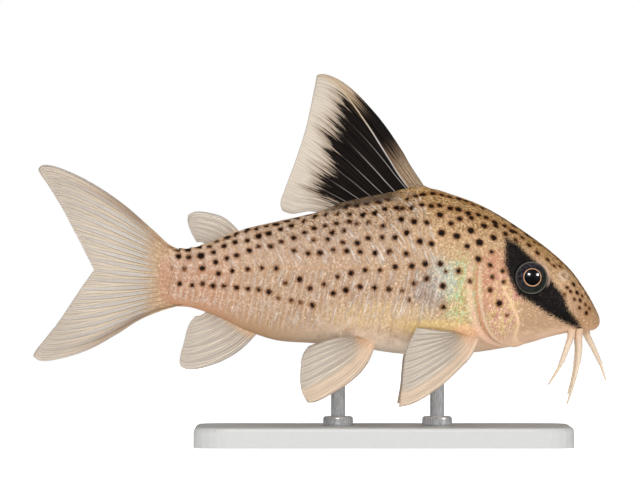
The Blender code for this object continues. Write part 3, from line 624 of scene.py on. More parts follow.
def curve_place(points, share):
    """Places at shares of the length of a smooth curve through a few flat points."""
    knots = lengths_along(points)
    return through(knots, points, np.asarray(share) * knots[-1])


def patch_place(edges, along, across, bend, crowd=1.0):
    """Places inside four curves: rays run straight from root to margin, bent like the edge beside them."""
    a = along[:, None]
    c = across[:, None]
    straight = (1 - a) * curve_place(edges["root"], across ** crowd)
    straight = straight + a * curve_place(edges["margin"], across)
    for name, share in (("lead", (1 - c) ** bend), ("trail", c ** bend)):
        ends = np.array([edges[name][0], edges[name][-1]])
        straight = straight + share * (curve_place(edges[name], along) - (1 - a) * ends[0] - a * ends[1])
    return straight


def body_curve(start, end, column, gap):
    """Points beside the back (column 0) or the belly (column 2) of the body's outline."""
    places = np.linspace(start, end, 6)
    return list(zip(places, section(places)[column] + gap))


def tail_root(share):
    """Root of the tail fin, bent round just inside the end of the tail stem."""
    centre = (52.4, 2.85)
    reach = 2.2
    half_height = 3.4
    fullness = 2.8
    angle = math.radians(90.0 - 180.0 * share)
    out = math.cos(angle)
    up = math.sin(angle)
    size = (abs(out) ** fullness + abs(up) ** fullness) ** (-1.0 / fullness)
    return (centre[0] + reach * out * size, centre[1] + half_height * up * size)


def fin_edges(root, lead, tip, margin, corner, trail):
    """Four curves of a fin, joined at the ends of its root, at its tip and at its rear corner."""
    return {
        "root": root,
        "lead": [root[0], *lead, tip],
        "margin": [tip, *margin, corner],
        "trail": [root[-1], *trail, corner],
    }


# The two lobes of the tail meet along the middle of the fin, from the root to the fork
FORK = (64.35, 3.8)
FORK_COURSE = [(60.3, 3.3)]
FIN_EDGES = {
    "dorsal_fin": fin_edges(
        root=body_curve(21.9, 34.3, 0, -ROOT_SUNK),
        lead=[(22.5, 14.7), (23.3, 15.9), (24.2, 17.3), (25.1, 18.9), (28.7, 23.9), (33.0, 27.9),
              (35.2, 28.72)],
        tip=(36.0, 28.62),
        margin=[(36.5, 26.0), (37.5, 21.5), (38.7, 17.8), (40.1, 14.0), (40.65, 12.2)],
        corner=(40.4, 11.3),
        trail=[(37.0, 11.25), (39.2, 10.95)],
    ),
    "adipose_fin": fin_edges(
        root=body_curve(45.4, 49.9, 0, -ROOT_SUNK),
        lead=[(47.8, 10.45), (49.6, 11.05), (51.5, 11.2)],
        tip=(52.4, 10.8),
        margin=[(52.45, 10.0), (52.05, 8.7)],
        corner=(51.3, 7.3),
        trail=[(50.6, 7.3)],
    ),
    "anal_fin": fin_edges(
        root=body_curve(43.2, 49.6, 2, ROOT_SUNK),
        lead=[(45.8, -6.45), (48.5, -8.0), (50.8, -8.75), (52.6, -8.85)],
        tip=(53.4, -8.5),
        margin=[(53.45, -7.6), (53.0, -5.7), (52.2, -3.0)],
        corner=(51.5, -2.1),
        trail=[(50.7, -1.95)],
    ),
    "pectoral_fin": fin_edges(
        root=[(15.5, -4.8), (16.6, -4.4), (17.9, -4.15)],
        lead=[(16.4, -6.9), (18.3, -9.05), (21.2, -11.45), (24.1, -13.1)],
        tip=(25.7, -13.45),
        margin=[(25.3, -11.0), (25.1, -8.6), (24.7, -6.3)],
        corner=(23.4, -3.45),
        trail=[(20.6, -3.8)],
    ),
    "pelvic_fin": fin_edges(
        root=[(28.5, -5.6), (29.5, -5.05), (30.6, -4.6)],
        lead=[(29.8, -8.4), (31.6, -10.25), (34.2, -11.9), (36.3, -12.9)],
        tip=(37.2, -12.95),
        margin=[(37.95, -11.4), (38.1, -8.9), (37.8, -7.1)],
        corner=(37.1, -6.0),
        trail=[(34.0, -4.9)],
    ),
    "upper_lobe": fin_edges(
        root=[tail_root(index / 12) for index in range(7)],
        lead=[(54.3, 6.75), (56.9, 8.95), (60.4, 12.0), (64.0, 14.5), (67.6, 16.35), (69.9, 17.1),
              (71.0, 17.1)],
        tip=(71.5, 16.65),
        margin=[(71.25, 16.1), (70.35, 14.8), (68.5, 11.8), (66.7, 8.4)],
        corner=FORK,
        trail=FORK_COURSE,
    ),
    "lower_lobe": fin_edges(
        root=[tail_root(0.5 + index / 12) for index in range(7)],
        lead=FORK_COURSE,
        tip=FORK,
        margin=[(65.3, 2.5), (67.0, 0.0), (68.8, -2.7), (70.6, -5.0), (71.85, -6.6)],
        corner=(72.15, -7.2),
        trail=[(54.2, -0.95), (56.0, -1.5), (58.6, -2.6), (61.3, -4.3), (64.9, -6.3), (68.6, -7.5),
               (71.3, -7.75)],
    ),
}


def ray_gap(across_rays, along):
    """Distance from the nearest ray branch, as a share of the spacing of the rays."""
    gap = np.abs(across_rays - np.floor(across_rays) - 0.5)
    gap = np.abs(gap - FIRST_PARTING * smooth_step(FIRST_FORK, 1.0, along))
    return np.abs(gap - SECOND_PARTING * smooth_step(SECOND_FORK, 1.05, along))


def closing(share, reach):
    """Rounded close of a fin or a feeler, over a reach from its end."""
    return np.sqrt(np.clip(share / reach, 0.0, 1.0))


def fin_half(along, across, rays, spine, root):
    """Half thickness of a fin in millimetres: membrane, ray ridges, leading spine and fleshy root."""
    gap = ray_gap(across * rays, along)
    half = MEMBRANE + RAY_RISE * (1.0 - RAY_SINKING * along) * bump(gap, RAY_WIDTH - RAY_THINNING * along)
    spine_share = 1.0 - smooth_step(SPINE_FULL / rays, SPINE_END / rays, across)
    half = half + (spine - MEMBRANE) * spine_share * (1.0 - SPINE_THINNING * along)
    half = half + root * (1.0 - smooth_step(0.0, FLESH_REACH, along)) ** 2
    near = np.clip(np.minimum(across, 1.0 - across) * rays / EDGE_ROUND, 0.0, 1.0)
    ends = closing(1.0 - along, MARGIN_CLOSE) * closing(along, ROOT_CLOSE)
    return half * np.sqrt(near * (2.0 - near)) * ends


def rayed_fin(node, shape, rays, rows, columns, material, slot="fin"):
    """Fin of two faces; its shape gives flat places, a middle line and a half thickness at shares."""
    def place(along, over):
        face = np.where(over <= 0.5, -1.0, 1.0)
        across = 1.0 - np.abs(2.0 * over - 1.0)
        flat, middle, half = shape(along, across)
        values = {
            "ray": np.stack([across * rays, along, across], axis=-1),
            "plane": np.stack([*flat.T, along], axis=-1),
        }
        return place_at(flat[:, 0], middle + face * half, flat[:, 1]), values

    piece = wrapped_grid(node + "_rays", rows, 2 * columns, place)
    finish_piece(piece, material, slot, node)
    return piece


def median_fin(node, material, rays, spine, root, rows, columns, slot="fin", bend=RAY_BEND):
    """Fin in the fish's middle plane."""
    def shape(along, across):
        flat = patch_place(FIN_EDGES[node], along, across, bend)
        return flat, 0.0, fin_half(along, across, rays, spine, root)

    return rayed_fin(node, shape, rays, rows, columns, material, slot)


def tail_fin(material, lobe_rays, spine, root, rows, columns):
    """Tail fin of two lobes, whose rays are counted from its two outer edges to its middle."""
    def shape(along, across):
        upper = patch_place(FIN_EDGES["upper_lobe"], along, np.clip(2.0 * across, 0.0, 1.0), TAIL_BEND)
        lower = patch_place(FIN_EDGES["lower_lobe"], along, np.clip(2.0 * across - 1.0, 0.0, 1.0), TAIL_BEND)
        flat = np.where((across <= 0.5)[:, None], upper, lower)
        lobe = 1.0 - np.abs(2.0 * across - 1.0)
        half = fin_half(along, lobe * MIDDLE_OPEN, lobe_rays, spine, root)
        least = np.where(lobe > MIDDLE_WEB, MEMBRANE * closing(1.0 - along, MARGIN_CLOSE), 0.0)
        return flat, 0.0, np.maximum(half, least) * closing(along, ROOT_CLOSE)

    rayed_fin("caudal_fin", shape, 2 * lobe_rays, rows, columns, material)


# How paired fins stand off the flank and how deep their roots lie in it
CLEARANCE = 0.75
ROOT_TUCK = 0.6
SPREAD_SOFT = 0.1
# Paired fins: splay, number of rays, spine, fleshy root, rows and columns
PAIRED_FINS = {
    "pectoral_fin": (0.45, 11, 0.5, 0.25, 90, 160),
    "pelvic_fin": (0.4, 8, 0.32, 0.25, 80, 120),
}


def paired_fin(kind, word, material, splay, rays, spine, root, rows, columns):
    """Fin that leaves the lower flank and spreads outwards by a splay for each millimetre that it drops."""
    edges = FIN_EDGES[kind]

    def shape(along, across):
        flat = patch_place(edges, along, across, RAY_BEND, ROOT_CROWD)
        behind, height = curve_place(edges["root"], across ** ROOT_CROWD).T
        drop = height - flat[:, 1]
        spread = splay * 0.5 * (drop + np.sqrt(drop * drop + SPREAD_SOFT))
        tuck = ROOT_TUCK * (1.0 - smooth_step(0.0, 0.1, along))
        clearance = CLEARANCE * smooth_step(0.0, 0.2, along) - tuck
        out = width_and_turn(behind, height)[0] + clearance + spread
        return flat, SIDES[word] * out, fin_half(along, across, rays, spine, root)

    rayed_fin(kind + "_" + word, shape, rays, rows, columns, material)


# Feelers

# Side, then the root behind the snout and across, and further points behind, across and high
BARBELS = {
    "barbel_outer_right": (RIGHT, [(3.7, 2.1), (4.2, 2.5, -5.9), (5.15, 2.9, -8.3), (6.7, 3.2, -10.85)]),
    "barbel_inner_right": (RIGHT, [(2.75, 1.75), (2.7, 2.1, -6.6), (3.2, 2.4, -9.6), (4.25, 2.6, -13.3)]),
    "barbel_outer_left": (LEFT, [(1.65, 1.75), (0.85, 2.6, -5.9), (-0.1, 3.3, -7.9), (-1.0, 3.9, -10.5)]),
    "barbel_inner_left": (LEFT, [(2.8, 2.0), (2.75, 2.4, -6.5), (3.2, 2.7, -9.4), (4.0, 2.9, -12.2)]),
}
CHIN_BARBELS = [(3.6, 0.75), (3.75, 0.85, -5.3), (4.1, 0.95, -6.1)]
# How deep feelers start in the lip and drop straight, and how they swell, taper and ripple
BARBEL_SUNK = 0.35
BARBEL_DROP = 0.9
BARBEL_SWELL = 0.25
BARBEL_TAPER = 0.78
BARBEL_RINGS = 0.05


def make_barbel(name, side, places, material, root_radius, rows=90, columns=20):
    """Fleshy feeler that grows out of the lip and tapers to its tip."""
    behind, across = places[0]
    root = (behind, across, float(belly_height(np.array([behind]), across)[0]) + BARBEL_SUNK)
    course = np.array([root, (behind, across, root[2] - BARBEL_DROP)] + places[1:])
    knots = lengths_along(course)

    def place(down, over):
        length = down * knots[-1]
        along = through(knots, course, np.clip(length + 0.1, 0.0, knots[-1]))
        along = along - through(knots, course, np.clip(length - 0.1, 0.0, knots[-1]))
        along /= np.linalg.norm(along, axis=1, keepdims=True)
        first = np.cross(along, [0.0, 1.0, 0.0])
        first /= np.linalg.norm(first, axis=1, keepdims=True)
        second = np.cross(along, first)
        radius = root_radius * (1.0 + BARBEL_SWELL * bump(down, 0.15)) * (1.0 - BARBEL_TAPER * down ** 1.3)
        radius = radius * closing(1.0 - down, TIP_CLOSE) * closing(down, ROOT_CLOSE)
        radius = radius * (1.0 + BARBEL_RINGS * np.sin(down * 60.0) * (1.0 - down))
        angle = (over * 2.0 * math.pi)[:, None]
        ring = through(knots, course, length)
        ring = ring + (first * np.cos(angle) + second * np.sin(angle)) * radius[:, None]
        points = place_at(ring[:, 0], side * ring[:, 1], ring[:, 2])
        return points, {"along": down}

    piece = wrapped_grid(name + "_flesh", rows, columns, place)
    finish_piece(piece, material, "barbel", name)


# Eyes

DOME_RISE = 0.16
DOME_WIDTH = 0.55


def make_eye(word, side, material):
    """Eyeball with a smooth clear front; its iris, ring and pupil are in its material."""
    name = "eye_" + word
    ball = added(name + "_ball", bpy.ops.mesh.primitive_uv_sphere_add, segments=72, ring_count=48, radius=1.0)
    mesh = ball.data
    mesh.uv_layers[0].name = "OFBake"
    round_points = read_vectors(mesh.vertices, "co")
    reach = np.hypot(round_points[:, 0], round_points[:, 1])
    points = round_points * [EYE_RADIUS, EYE_RADIUS, EYE_DEPTH]
    points[:, 2] += np.where(round_points[:, 2] > 0.0, DOME_RISE * bump(reach, DOME_WIDTH), 0.0)
    centre, axis = eye_place(side)
    facing = np.array(Vector(axis).to_track_quat("Z", "Y").to_matrix())
    away = points @ facing.T
    mesh.vertices.foreach_set("co", (centre + away * MM).ravel())
    # How far a point lies towards the upper back, where the iris's painted sheen turns violet.
    gleam = (away[:, 2] - away[:, 0]) / EYE_RADIUS
    keep_values(mesh, "iris", np.stack([reach, gleam, np.zeros(len(reach))], axis=-1))
    bpy.ops.object.shade_smooth()
    finish_piece(ball, material, "eye", name)


# Values in shaders

class Value:
    """A number, a vector or a colour in a shader: whatever is worked out from it adds nodes to its tree."""

    def __init__(self, tree, socket):
        self.tree = tree
        self.socket = socket

    def through_node(self, kind, *values):
        """First output of a new node that takes this value first and further values after it."""
        node = self.tree.nodes.new(kind)
        for socket, value in zip(node.inputs, (self, *values)):
            give(socket, value)
        return Value(self.tree, node.outputs[0])

    def math(self, operation, second=0.0, third=0.0):
        result = self.through_node("ShaderNodeMath", second, third)
        result.socket.node.operation = operation
        return result

    def __add__(self, other):
        return self.math("ADD", other)

    def __sub__(self, other):
        return self.math("SUBTRACT", other)

    def __mul__(self, other):
        return self.math("MULTIPLY", other)

    def __truediv__(self, other):
        return self.math("DIVIDE", other)

    def __abs__(self):
        return self.math("ABSOLUTE")

    def line(self, slope, start):
        return self.math("MULTIPLY_ADD", slope, start)

    def most(self, other):
        return self.math("MAXIMUM", other)

    def ramp(self, low, high, to_low=0.0, to_high=1.0):
        """Smooth change from one value at a low limit to another at a high one."""
        result = self.through_node("ShaderNodeMapRange", low, high, to_low, to_high)
        result.socket.node.interpolation_type = "SMOOTHSTEP"
        return result

    def band(self, start, full, fall, end):
        """Share that rises from a start, stays full and falls to an end."""
        return self.ramp(start, full) * self.ramp(end, fall)

    def between(self, first, second):
        """Colour from a first tone at 0 to a second at 1."""
        node = self.tree.nodes.new("ShaderNodeMix")
        node.data_type = "RGBA"
        for place, value in ((0, self), (6, first), (7, second)):
            give(node.inputs[place], value)
        return Value(self.tree, node.outputs[2])

    def tint(self, share, tone):
        """This colour, moved towards a tone by a share."""
        return share.between(self, tone)

    def noise(self, scale, detail, rough=0.5):
        node = self.tree.nodes.new("ShaderNodeTexNoise")
        give_all(node, Vector=self, Scale=scale, Detail=detail, Roughness=rough)
        return Value(self.tree, node.outputs["Fac"])

    def parts(self):
        first = self.through_node("ShaderNodeSeparateXYZ")
        return [Value(self.tree, output) for output in first.socket.node.outputs]


def give(socket, value):
    """Give a socket another node's output, a number or a colour."""
    if isinstance(value, Value):
        value.tree.links.new(value.socket, socket)
    elif isinstance(value, tuple):
        socket.default_value = (*value, 1.0)
    else:
        socket.default_value = value


def give_all(node, **values):
    """Give values to a node's inputs by their titles, with _ for a space."""
    for title, value in values.items():
        give(node.inputs[title.replace("_", " ")], value)


def joined(x, y, z=0.0):
    return x.through_node("ShaderNodeCombineXYZ", y, z)


def attribute(tree, name, output="Vector"):
    node = tree.nodes.new("ShaderNodeAttribute")
    node.attribute_name = name
    return Value(tree, node.outputs[output])


def object_place(tree):
    """Object coordinates in millimetres."""
    coordinates = tree.nodes.new("ShaderNodeTexCoord")
    scale = tree.nodes.new("ShaderNodeVectorMath")
    scale.operation = "SCALE"
    give(scale.inputs[0], Value(tree, coordinates.outputs["Object"]))
    scale.inputs["Scale"].default_value = 1.0 / MM
    return Value(tree, scale.outputs[0])


def new_material(name):
    material = bpy.data.materials.new(name)
    material.use_nodes = True
    tree = material.node_tree
    return material, tree, tree.nodes["Principled BSDF"]


def add_relief(shader, height, distance, strength=1.0):
    """Fine relief of a material, with its distance in metres."""
    relief = height.tree.nodes.new("ShaderNodeBump")
    give_all(relief, Distance=distance, Strength=strength, Height=height)
    give_all(shader, Normal=Value(height.tree, relief.outputs[0]))


def named_outputs(tree, node):
    return {output.name: Value(tree, output) for output in node.outputs}


def new_group(name, takes, gives):
    """Shader node group: its tree, the values that it takes and its end node."""
    group = bpy.data.node_groups.new(name, "ShaderNodeTree")
    for title, value in takes.items():
        kind = "NodeSocketVector" if value is None else "NodeSocketFloat"
        socket = group.interface.new_socket(name=title, in_out="INPUT", socket_type=kind)
        if value is not None:
            socket.default_value = value
    for title in gives:
        group.interface.new_socket(name=title, in_out="OUTPUT", socket_type="NodeSocketFloat")
    return group, named_outputs(group, group.nodes.new("NodeGroupInput")), group.nodes.new("NodeGroupOutput")


def use_group(tree, group, **values):
    node = tree.nodes.new("ShaderNodeGroup")
    node.node_tree = group
    give_all(node, **values)
    return named_outputs(tree, node)


# Material of the skin

def speckle_group():
    """Fine dark grains, bright flecks that are partly pale pigment and partly painted glints, and a broad
    mottle.
    """
    group, takes, end = new_group(
        "skin_speckle", {"Place": None, "Grain": 5.0, "Fleck": 3.2}, ["Dark", "Bright", "Mottle"])
    place = takes["Place"]
    grain = place.noise(takes["Grain"], 3.0, 0.7)
    fleck = place.noise(takes["Fleck"], 4.0, 0.8)
    mottle = place.noise(0.6, 3.0, 0.6)
    give_all(end, Dark=grain.ramp(0.47, 0.57), Bright=fleck.ramp(0.52, 0.6), Mottle=mottle)
    return group


def patch_mask(body, centre, reach, ragged, soft=0.35):
    """Share of a soft-edged oval patch in the side view, with its edge moved by a noise."""
    behind, height = body[:2]
    far = (behind - centre[0]) / reach[0]
    high = (height - centre[1]) / reach[1]
    away = far.line(far, high * high).math("SQRT")
    return (away + ragged).ramp(1.0 + soft, 1.0 - soft)


def skin_ground(body, grains):
    """Ground colour: brown back, tan flank, pale belly brightened further as painted light, pinker cheek and
    stem, and a dusky snout.
    """
    behind, _, folded = body
    level = folded + grains["Mottle"].line(36.0, -18.0)
    golden = behind.ramp(36.0, 20.0)
    back = golden.between((0.74, 0.50, 0.30), (0.47, 0.265, 0.085))
    upper = golden.between((0.58, 0.385, 0.255), (0.62, 0.395, 0.22))
    colour = level.ramp(8.0, 58.0).between(back, upper)
    colour = colour.tint(level.ramp(50.0, 95.0), (0.43, 0.268, 0.158))
    # The belly's pale tone is raised beyond its own colour as painted light, lifting the shade under the body
    # and the fins.
    belly = behind.ramp(44.0, 28.0).between((0.46, 0.285, 0.16), (0.92, 0.76, 0.60))
    belly = belly.tint(behind.ramp(19.0, 14.0), (0.75, 0.50, 0.34))
    colour = colour.tint(level.ramp(120.0, 152.0), belly)
    blush = grains["Mottle"].line(1.2, -0.6)
    cheek = patch_mask(body, (13.2, 2.0), (3.0, 4.0), blush)
    colour = colour.tint(cheek * 0.62, (0.58, 0.235, 0.155))
    rosy = behind.ramp(43.0, 50.0) * level.ramp(30.0, 70.0, 0.0, 0.4)
    colour = colour.tint(rosy, (0.48, 0.20, 0.12))
    snout = patch_mask(body, (0.6, -2.6), (3.2, 2.6), blush)
    return colour.tint(snout * 0.7, (0.37, 0.20, 0.095)), level


# Patches from the gill cover to the belly: centre, reach, softness and strength
SHIMMER_PATCHES = {
    "green": ((17.9, 0.8), (2.4, 4.4), 0.45, 0.85),
    "aqua": ((20.2, 2.6), (1.8, 2.5), 0.45, 0.75),
    "blue": ((22.0, 0.3), (2.3, 3.6), 0.5, 0.75),
    "gold": ((27.5, -1.9), (6.5, 1.5), 0.5, 0.35),
    "yellow": ((20.6, -3.5), (4.2, 1.0), 0.45, 0.75),
    "armpit": ((17.2, -3.9), (1.9, 0.8), 0.5, 0.7),
    "cover": ((12.5, -1.0), (1.9, 3.8), 0.45, 0.7),
}


def shimmer(body, place, colour):
    """Iridescent shoulder and gill cover: small flakes of yellow, green, blue and pink with pale glints
    painted as highlights.
    """
    behind, height = body[:2]
    slanted = joined(height.line(0.35, behind * 1.5), height * 0.6)
    flakes = slanted.noise(1.3, 4.0, 0.7)
    ragged = place.noise(2.0, 5.0, 0.8).line(2.6, -1.3)
    warm = flakes.ramp(0.42, 0.5).between((0.42, 0.26, 0.15), (0.50, 0.39, 0.12))
    cool = flakes.ramp(0.5, 0.6).between((0.45, 0.46, 0.13), (0.33, 0.53, 0.33))
    broad = flakes.ramp(0.42, 0.58)
    tones = {
        "green": flakes.ramp(0.44, 0.56).between(warm, cool),
        "aqua": broad.between((0.32, 0.47, 0.46), (0.53, 0.57, 0.48)),
        "blue": broad.between((0.26, 0.165, 0.13), (0.26, 0.23, 0.22)),
        "gold": (0.86, 0.62, 0.27),
        "yellow": (0.68, 0.47, 0.18),
        "armpit": (0.76, 0.42, 0.24),
        "cover": flakes.ramp(0.46, 0.56).between((0.54, 0.24, 0.21), (0.62, 0.45, 0.16)),
    }
    masks = {}
    for name, (centre, reach, soft, strength) in SHIMMER_PATCHES.items():
        edge = ragged * 0.4 if name == "armpit" else ragged
        masks[name] = patch_mask(body, centre, reach, edge, soft)
        colour = colour.tint(masks[name] * strength, tones[name])
    # Painted highlights: pale glints over the green, aqua and cover patches, fainter over the blue.
    lit = masks["green"].most((masks["blue"] * 0.4).most(masks["cover"].most(masks["aqua"])))
    lit = lit * slanted.noise(3.6, 3.0, 0.7).ramp(0.54, 0.64)
    specks = masks["green"] * place.noise(5.5, 2.0, 0.6).ramp(0.6, 0.66)
    colour = colour.tint(specks * 0.6, (0.20, 0.15, 0.06))
    return colour.tint(lit * 0.5, (0.94, 0.93, 0.74)), lit


# Lines along the gill cover, by distances behind its edge (0) or behind its front groove (1):
# start, full, fall, end, strength and tone
GILL_LINES = [
    (0, -0.75, -0.35, -0.2, -0.05, 0.4, (0.80, 0.62, 0.46)),
    (0, -0.25, -0.05, 0.1, 0.3, 0.6, (0.66, 0.30, 0.18)),
    (0, 0.3, 0.6, 0.9, 1.8, 0.5, (0.86, 0.56, 0.42)),
    (1, -0.3, -0.05, 0.1, 0.35, 0.6, (0.86, 0.60, 0.38)),
]


def gill_marks(tree, colour):
    """Pale rim and orange line along the gill cover's edge, a pale band behind it and the front groove."""
    places = attribute(tree, "gill").parts()
    for which, start, full, fall, end, strength, tone in GILL_LINES:
        line = places[which].band(start, full, fall, end) * places[2]
        colour = colour.tint(line * strength, tone)
    return colour


def plate_streaks(tree):
    """Silvery strands along the borders of the bony plates as painted glints, painted shade beside them, and
    a faint pale line at each border, a painted sheen that also lifts the shade of the plates' steps.
    """
    number, lateral, plated = attribute(tree, "plates").parts()
    plated = plated * number.line(-0.45, lateral).ramp(6.6, 4.2)
    leaning = lateral.math("MINIMUM").line(0.2, lateral.most(0.0).line(-0.08, number))
    fine = joined(leaning * 4.8, lateral * 0.3)
    strands = fine.noise(1.0, 4.0, 0.72)
    shade = strands.ramp(0.45, 0.34) * plated
    broad = joined(number * 1.3, lateral * 0.3, 4.0)
    streak = strands.ramp(0.51, 0.59) * broad.noise(1.0, 2.0).ramp(0.32, 0.5)
    waver = fine.noise(0.7, 3.0, 0.6).line(0.5, -0.25)
    phase = (number + waver).math("FRACT")
    line = phase.ramp(0.84, 0.95).most(phase.ramp(0.12, 0.03))
    line = line.most(phase.band(0.34, 0.44, 0.5, 0.6) * 0.6)
    streak = streak * number.ramp(18.0, 2.0, 0.6, 1.0) * plated
    return streak, shade, line * plated, lateral


def skin_material(speckle):
    material, tree, shader = new_material("spotted_skin")
    place = object_place(tree)
    grains = use_group(tree, speckle, Place=place, Grain=3.7, Fleck=3.3)
    body = attribute(tree, "body").parts()
    behind, height, folded = body
    colour, level = skin_ground(body, grains)
    colour, glint = shimmer(body, place, colour)
    streak, shade, line, lateral = plate_streaks(tree)
    # Painted shade beside the silvery strands.
    colour = colour.tint(shade * 0.4, (0.36, 0.19, 0.11))
    sense = abs(lateral).ramp(0.35, 0.1) * behind.ramp(21.0, 30.0)
    colour = colour.tint(sense * 0.22, (0.60, 0.33, 0.18))

    # Pale flecks, partly the skin's own colour and partly painted glints, fewer on the belly and the front of
    # the head.
    above = level.ramp(150.0, 120.0, 0.12, 1.0) * behind.ramp(8.0, 14.0, 0.5, 1.0)
    bright = grains["Bright"] * above
    fleck_tone = behind.ramp(32.0, 18.0).between((0.88, 0.70, 0.55), (0.95, 0.74, 0.47))
    colour = colour.tint(bright * 0.66, fleck_tone)
    dark = grains["Dark"] * level.ramp(92.0, 18.0, 0.1, 0.85) * behind.ramp(50.0, 38.0, 0.35, 1.0)
    colour = colour.tint(dark, (0.15, 0.065, 0.02))
    # Pale line at each plate border, a painted sheen that also lifts the shade of the steps; then the silvery
    # strands, painted glints.
    colour = colour.tint(line * lateral.ramp(-1.0, 4.0, 0.25, 0.42), (0.82, 0.63, 0.50))
    colour = colour.tint(streak * lateral.ramp(-2.0, 3.0, 0.62, 0.4), (0.92, 0.84, 0.78))
    colour = gill_marks(tree, colour)

    nostril = (NOSTRIL_BEHIND, NOSTRIL_HEIGHT)
    # A paler ring round each nostril, and a dark centre in its pit: painted shade of the opening.
    colour = colour.tint(patch_mask(body, nostril, (0.78, 0.72), 0.0, 0.2) * 0.4, (0.66, 0.52, 0.40))
    colour = colour.tint(patch_mask(body, nostril, (0.3, 0.26), 0.0, 0.4) * 0.45, (0.16, 0.09, 0.06))

    spots = attribute(tree, "spots", "Fac") + place.noise(6.0, 3.0, 0.75).line(0.7, -0.35)
    colour = colour.tint(spots.ramp(0.36, -0.02, 0.0, 0.75), (0.24, 0.085, 0.022))
    colour = colour.tint(spots.ramp(0.08, -0.12), (0.010, 0.003, 0.001))

    # Painted shadow on the back along the base of the dorsal fin.
    dorsal_shade = folded.ramp(21.0, 10.0) * behind.ramp(24.5, 27.0) * behind.ramp(35.5, 33.5)
    colour = colour.tint(dorsal_shade * 0.75, (0.035, 0.025, 0.018))

    mask = attribute(tree, "mask", "Fac") + place.noise(7.0, 3.0, 0.85).line(2.4, -1.2)
    # Black mask, a little lighter on the pale flecks, which are partly painted glints.
    flecked_black = grains["Bright"].between((0.005, 0.004, 0.004), (0.026, 0.016, 0.012))
    colour = colour.tint(mask.ramp(0.25, -0.15), flecked_black)

    eyelid = patch_mask(body, (EYE_BEHIND, EYE_HEIGHT), (2.42, 2.42), 0.0, 0.04)
    eyelid = eyelid * (behind.ramp(8.6, 7.2) * height.ramp(1.4, 2.2))
    colour = colour.tint(eyelid * 0.5, (0.62, 0.40, 0.32))

    shine = (bright + streak + glint).ramp(0.0, 1.4, 0.5, 0.3)
    give_all(shader, Base_Color=colour, Roughness=shine, Specular_IOR_Level=0.08)
    add_relief(shader, streak.line(1.0, place.noise(5.0, 4.0, 0.7)), distance=0.00012, strength=0.8)
    return material


# Materials of the fins

def ray_group():
    """Forking fin rays from a count across and a share along.

    It gives the ray, its thin core, its shaded sides, strands of the membrane and the dark valleys; the sides
    and the valleys are where shade is painted.
    """
    group, takes, end = new_group(
        "fin_rays", {"Rays": None, "First Fork": FIRST_FORK, "Second Fork": SECOND_FORK, "Width": 0.13},
        ["Ray", "Core", "Side", "Strand", "Valley"])
    across, along = takes["Rays"].parts()[:2]
    middle = abs(across.math("FRACT") - 0.5)
    gap = abs(middle - along.ramp(takes["First Fork"], 1.0, 0.0, FIRST_PARTING))
    gap = abs(gap - along.ramp(takes["Second Fork"], 1.05, 0.0, SECOND_PARTING))
    width = takes["Width"] * along.line(-0.6, 1.0)
    # Side: a band along each edge of a ray, where shade is painted; Valley, below: the groove between the
    # rays, also painted shade.
    side = gap.band(width * 0.85, width * 1.1, width * 1.3, width * 2.0)
    strand = joined(across * 15.0, along * 1.0).noise(1.0, 2.0, 0.6).ramp(0.38, 0.62)
    valley = middle.ramp(0.36, 0.45) * along.ramp(0.0, 1.0, 0.9, 0.15)
    give_all(end, Ray=gap.ramp(width, width * 0.6), Core=middle.ramp(0.058, 0.015), Side=side, Strand=strand,
             Valley=valley)
    return group


# How opaque the webs are, and the tones of three kinds of fin
WEB_ALPHA = 0.86
# In each, side is the tone of the painted shade along and between the rays, also used for the dark grains;
# valley is how strong the shade between the rays is.
PALE_TONES = {
    "web": (0.71, 0.635, 0.57), "web_dark": (0.54, 0.465, 0.40), "ray": (0.90, 0.80, 0.63),
    "side": (0.42, 0.30, 0.20), "root": (0.84, 0.57, 0.35), "valley": 1.0,
}
TAIL_TONES = {
    "web": (0.70, 0.64, 0.585), "web_dark": (0.59, 0.525, 0.47), "ray": (0.66, 0.51, 0.32),
    "side": (0.25, 0.165, 0.08), "root": (0.60, 0.40, 0.23), "valley": 0.2,
}
DORSAL_TONES = {
    "web": (0.75, 0.67, 0.575), "web_dark": (0.63, 0.55, 0.46), "ray": (0.79, 0.71, 0.59),
    "side": (0.50, 0.40, 0.31), "root": (0.30, 0.19, 0.11), "valley": 1.0,
}


def fin_material(name, rays, speckle, tones, width, root_reach=0.14):
    """Pale webbed fin: strands in the membrane, cream forking rays with shaded sides and a fleshy root.

    It gives the material, its shader, its colour, the pattern of its rays and the places on the fin.
    """
    material, tree, shader = new_material(name)
    spread = attribute(tree, "ray")
    pattern = use_group(tree, rays, Rays=spread, Width=width)
    ray = pattern["Ray"]
    strand = pattern["Strand"]
    places = spread.parts()
    along = places[1]
    grains = use_group(tree, speckle, Place=object_place(tree), Grain=5.0, Fleck=4.0)
    colour = strand.between(tones["web_dark"], tones["web"])
    # Painted shade along the rays' edges, then the cream rays, then painted shade in the valleys between
    # them.
    colour = colour.tint(pattern["Side"] * along.ramp(0.0, 0.9, 0.95, 0.4), tones["side"])
    colour = colour.tint(ray * along.ramp(0.1, 0.9, 0.9, 0.45), tones["ray"])
    colour = colour.tint(pattern["Valley"] * tones["valley"], tones["side"])
    reach = strand.line(0.1, root_reach)
    root = along.ramp(reach, reach * 0.35)
    colour = colour.tint(root * 0.9, tones["root"])
    colour = colour.tint(grains["Dark"] * along.ramp(0.5, 0.0, 0.1, 0.35), tones["side"])
    alpha = ray.most(root).ramp(0.0, 1.0, WEB_ALPHA, 1.0)
    give_all(shader, Base_Color=colour, Roughness=0.45, Specular_IOR_Level=0.2, Alpha=alpha)
    add_relief(shader, ray + strand, distance=0.00006, strength=0.6)
    return material, shader, colour, pattern, places


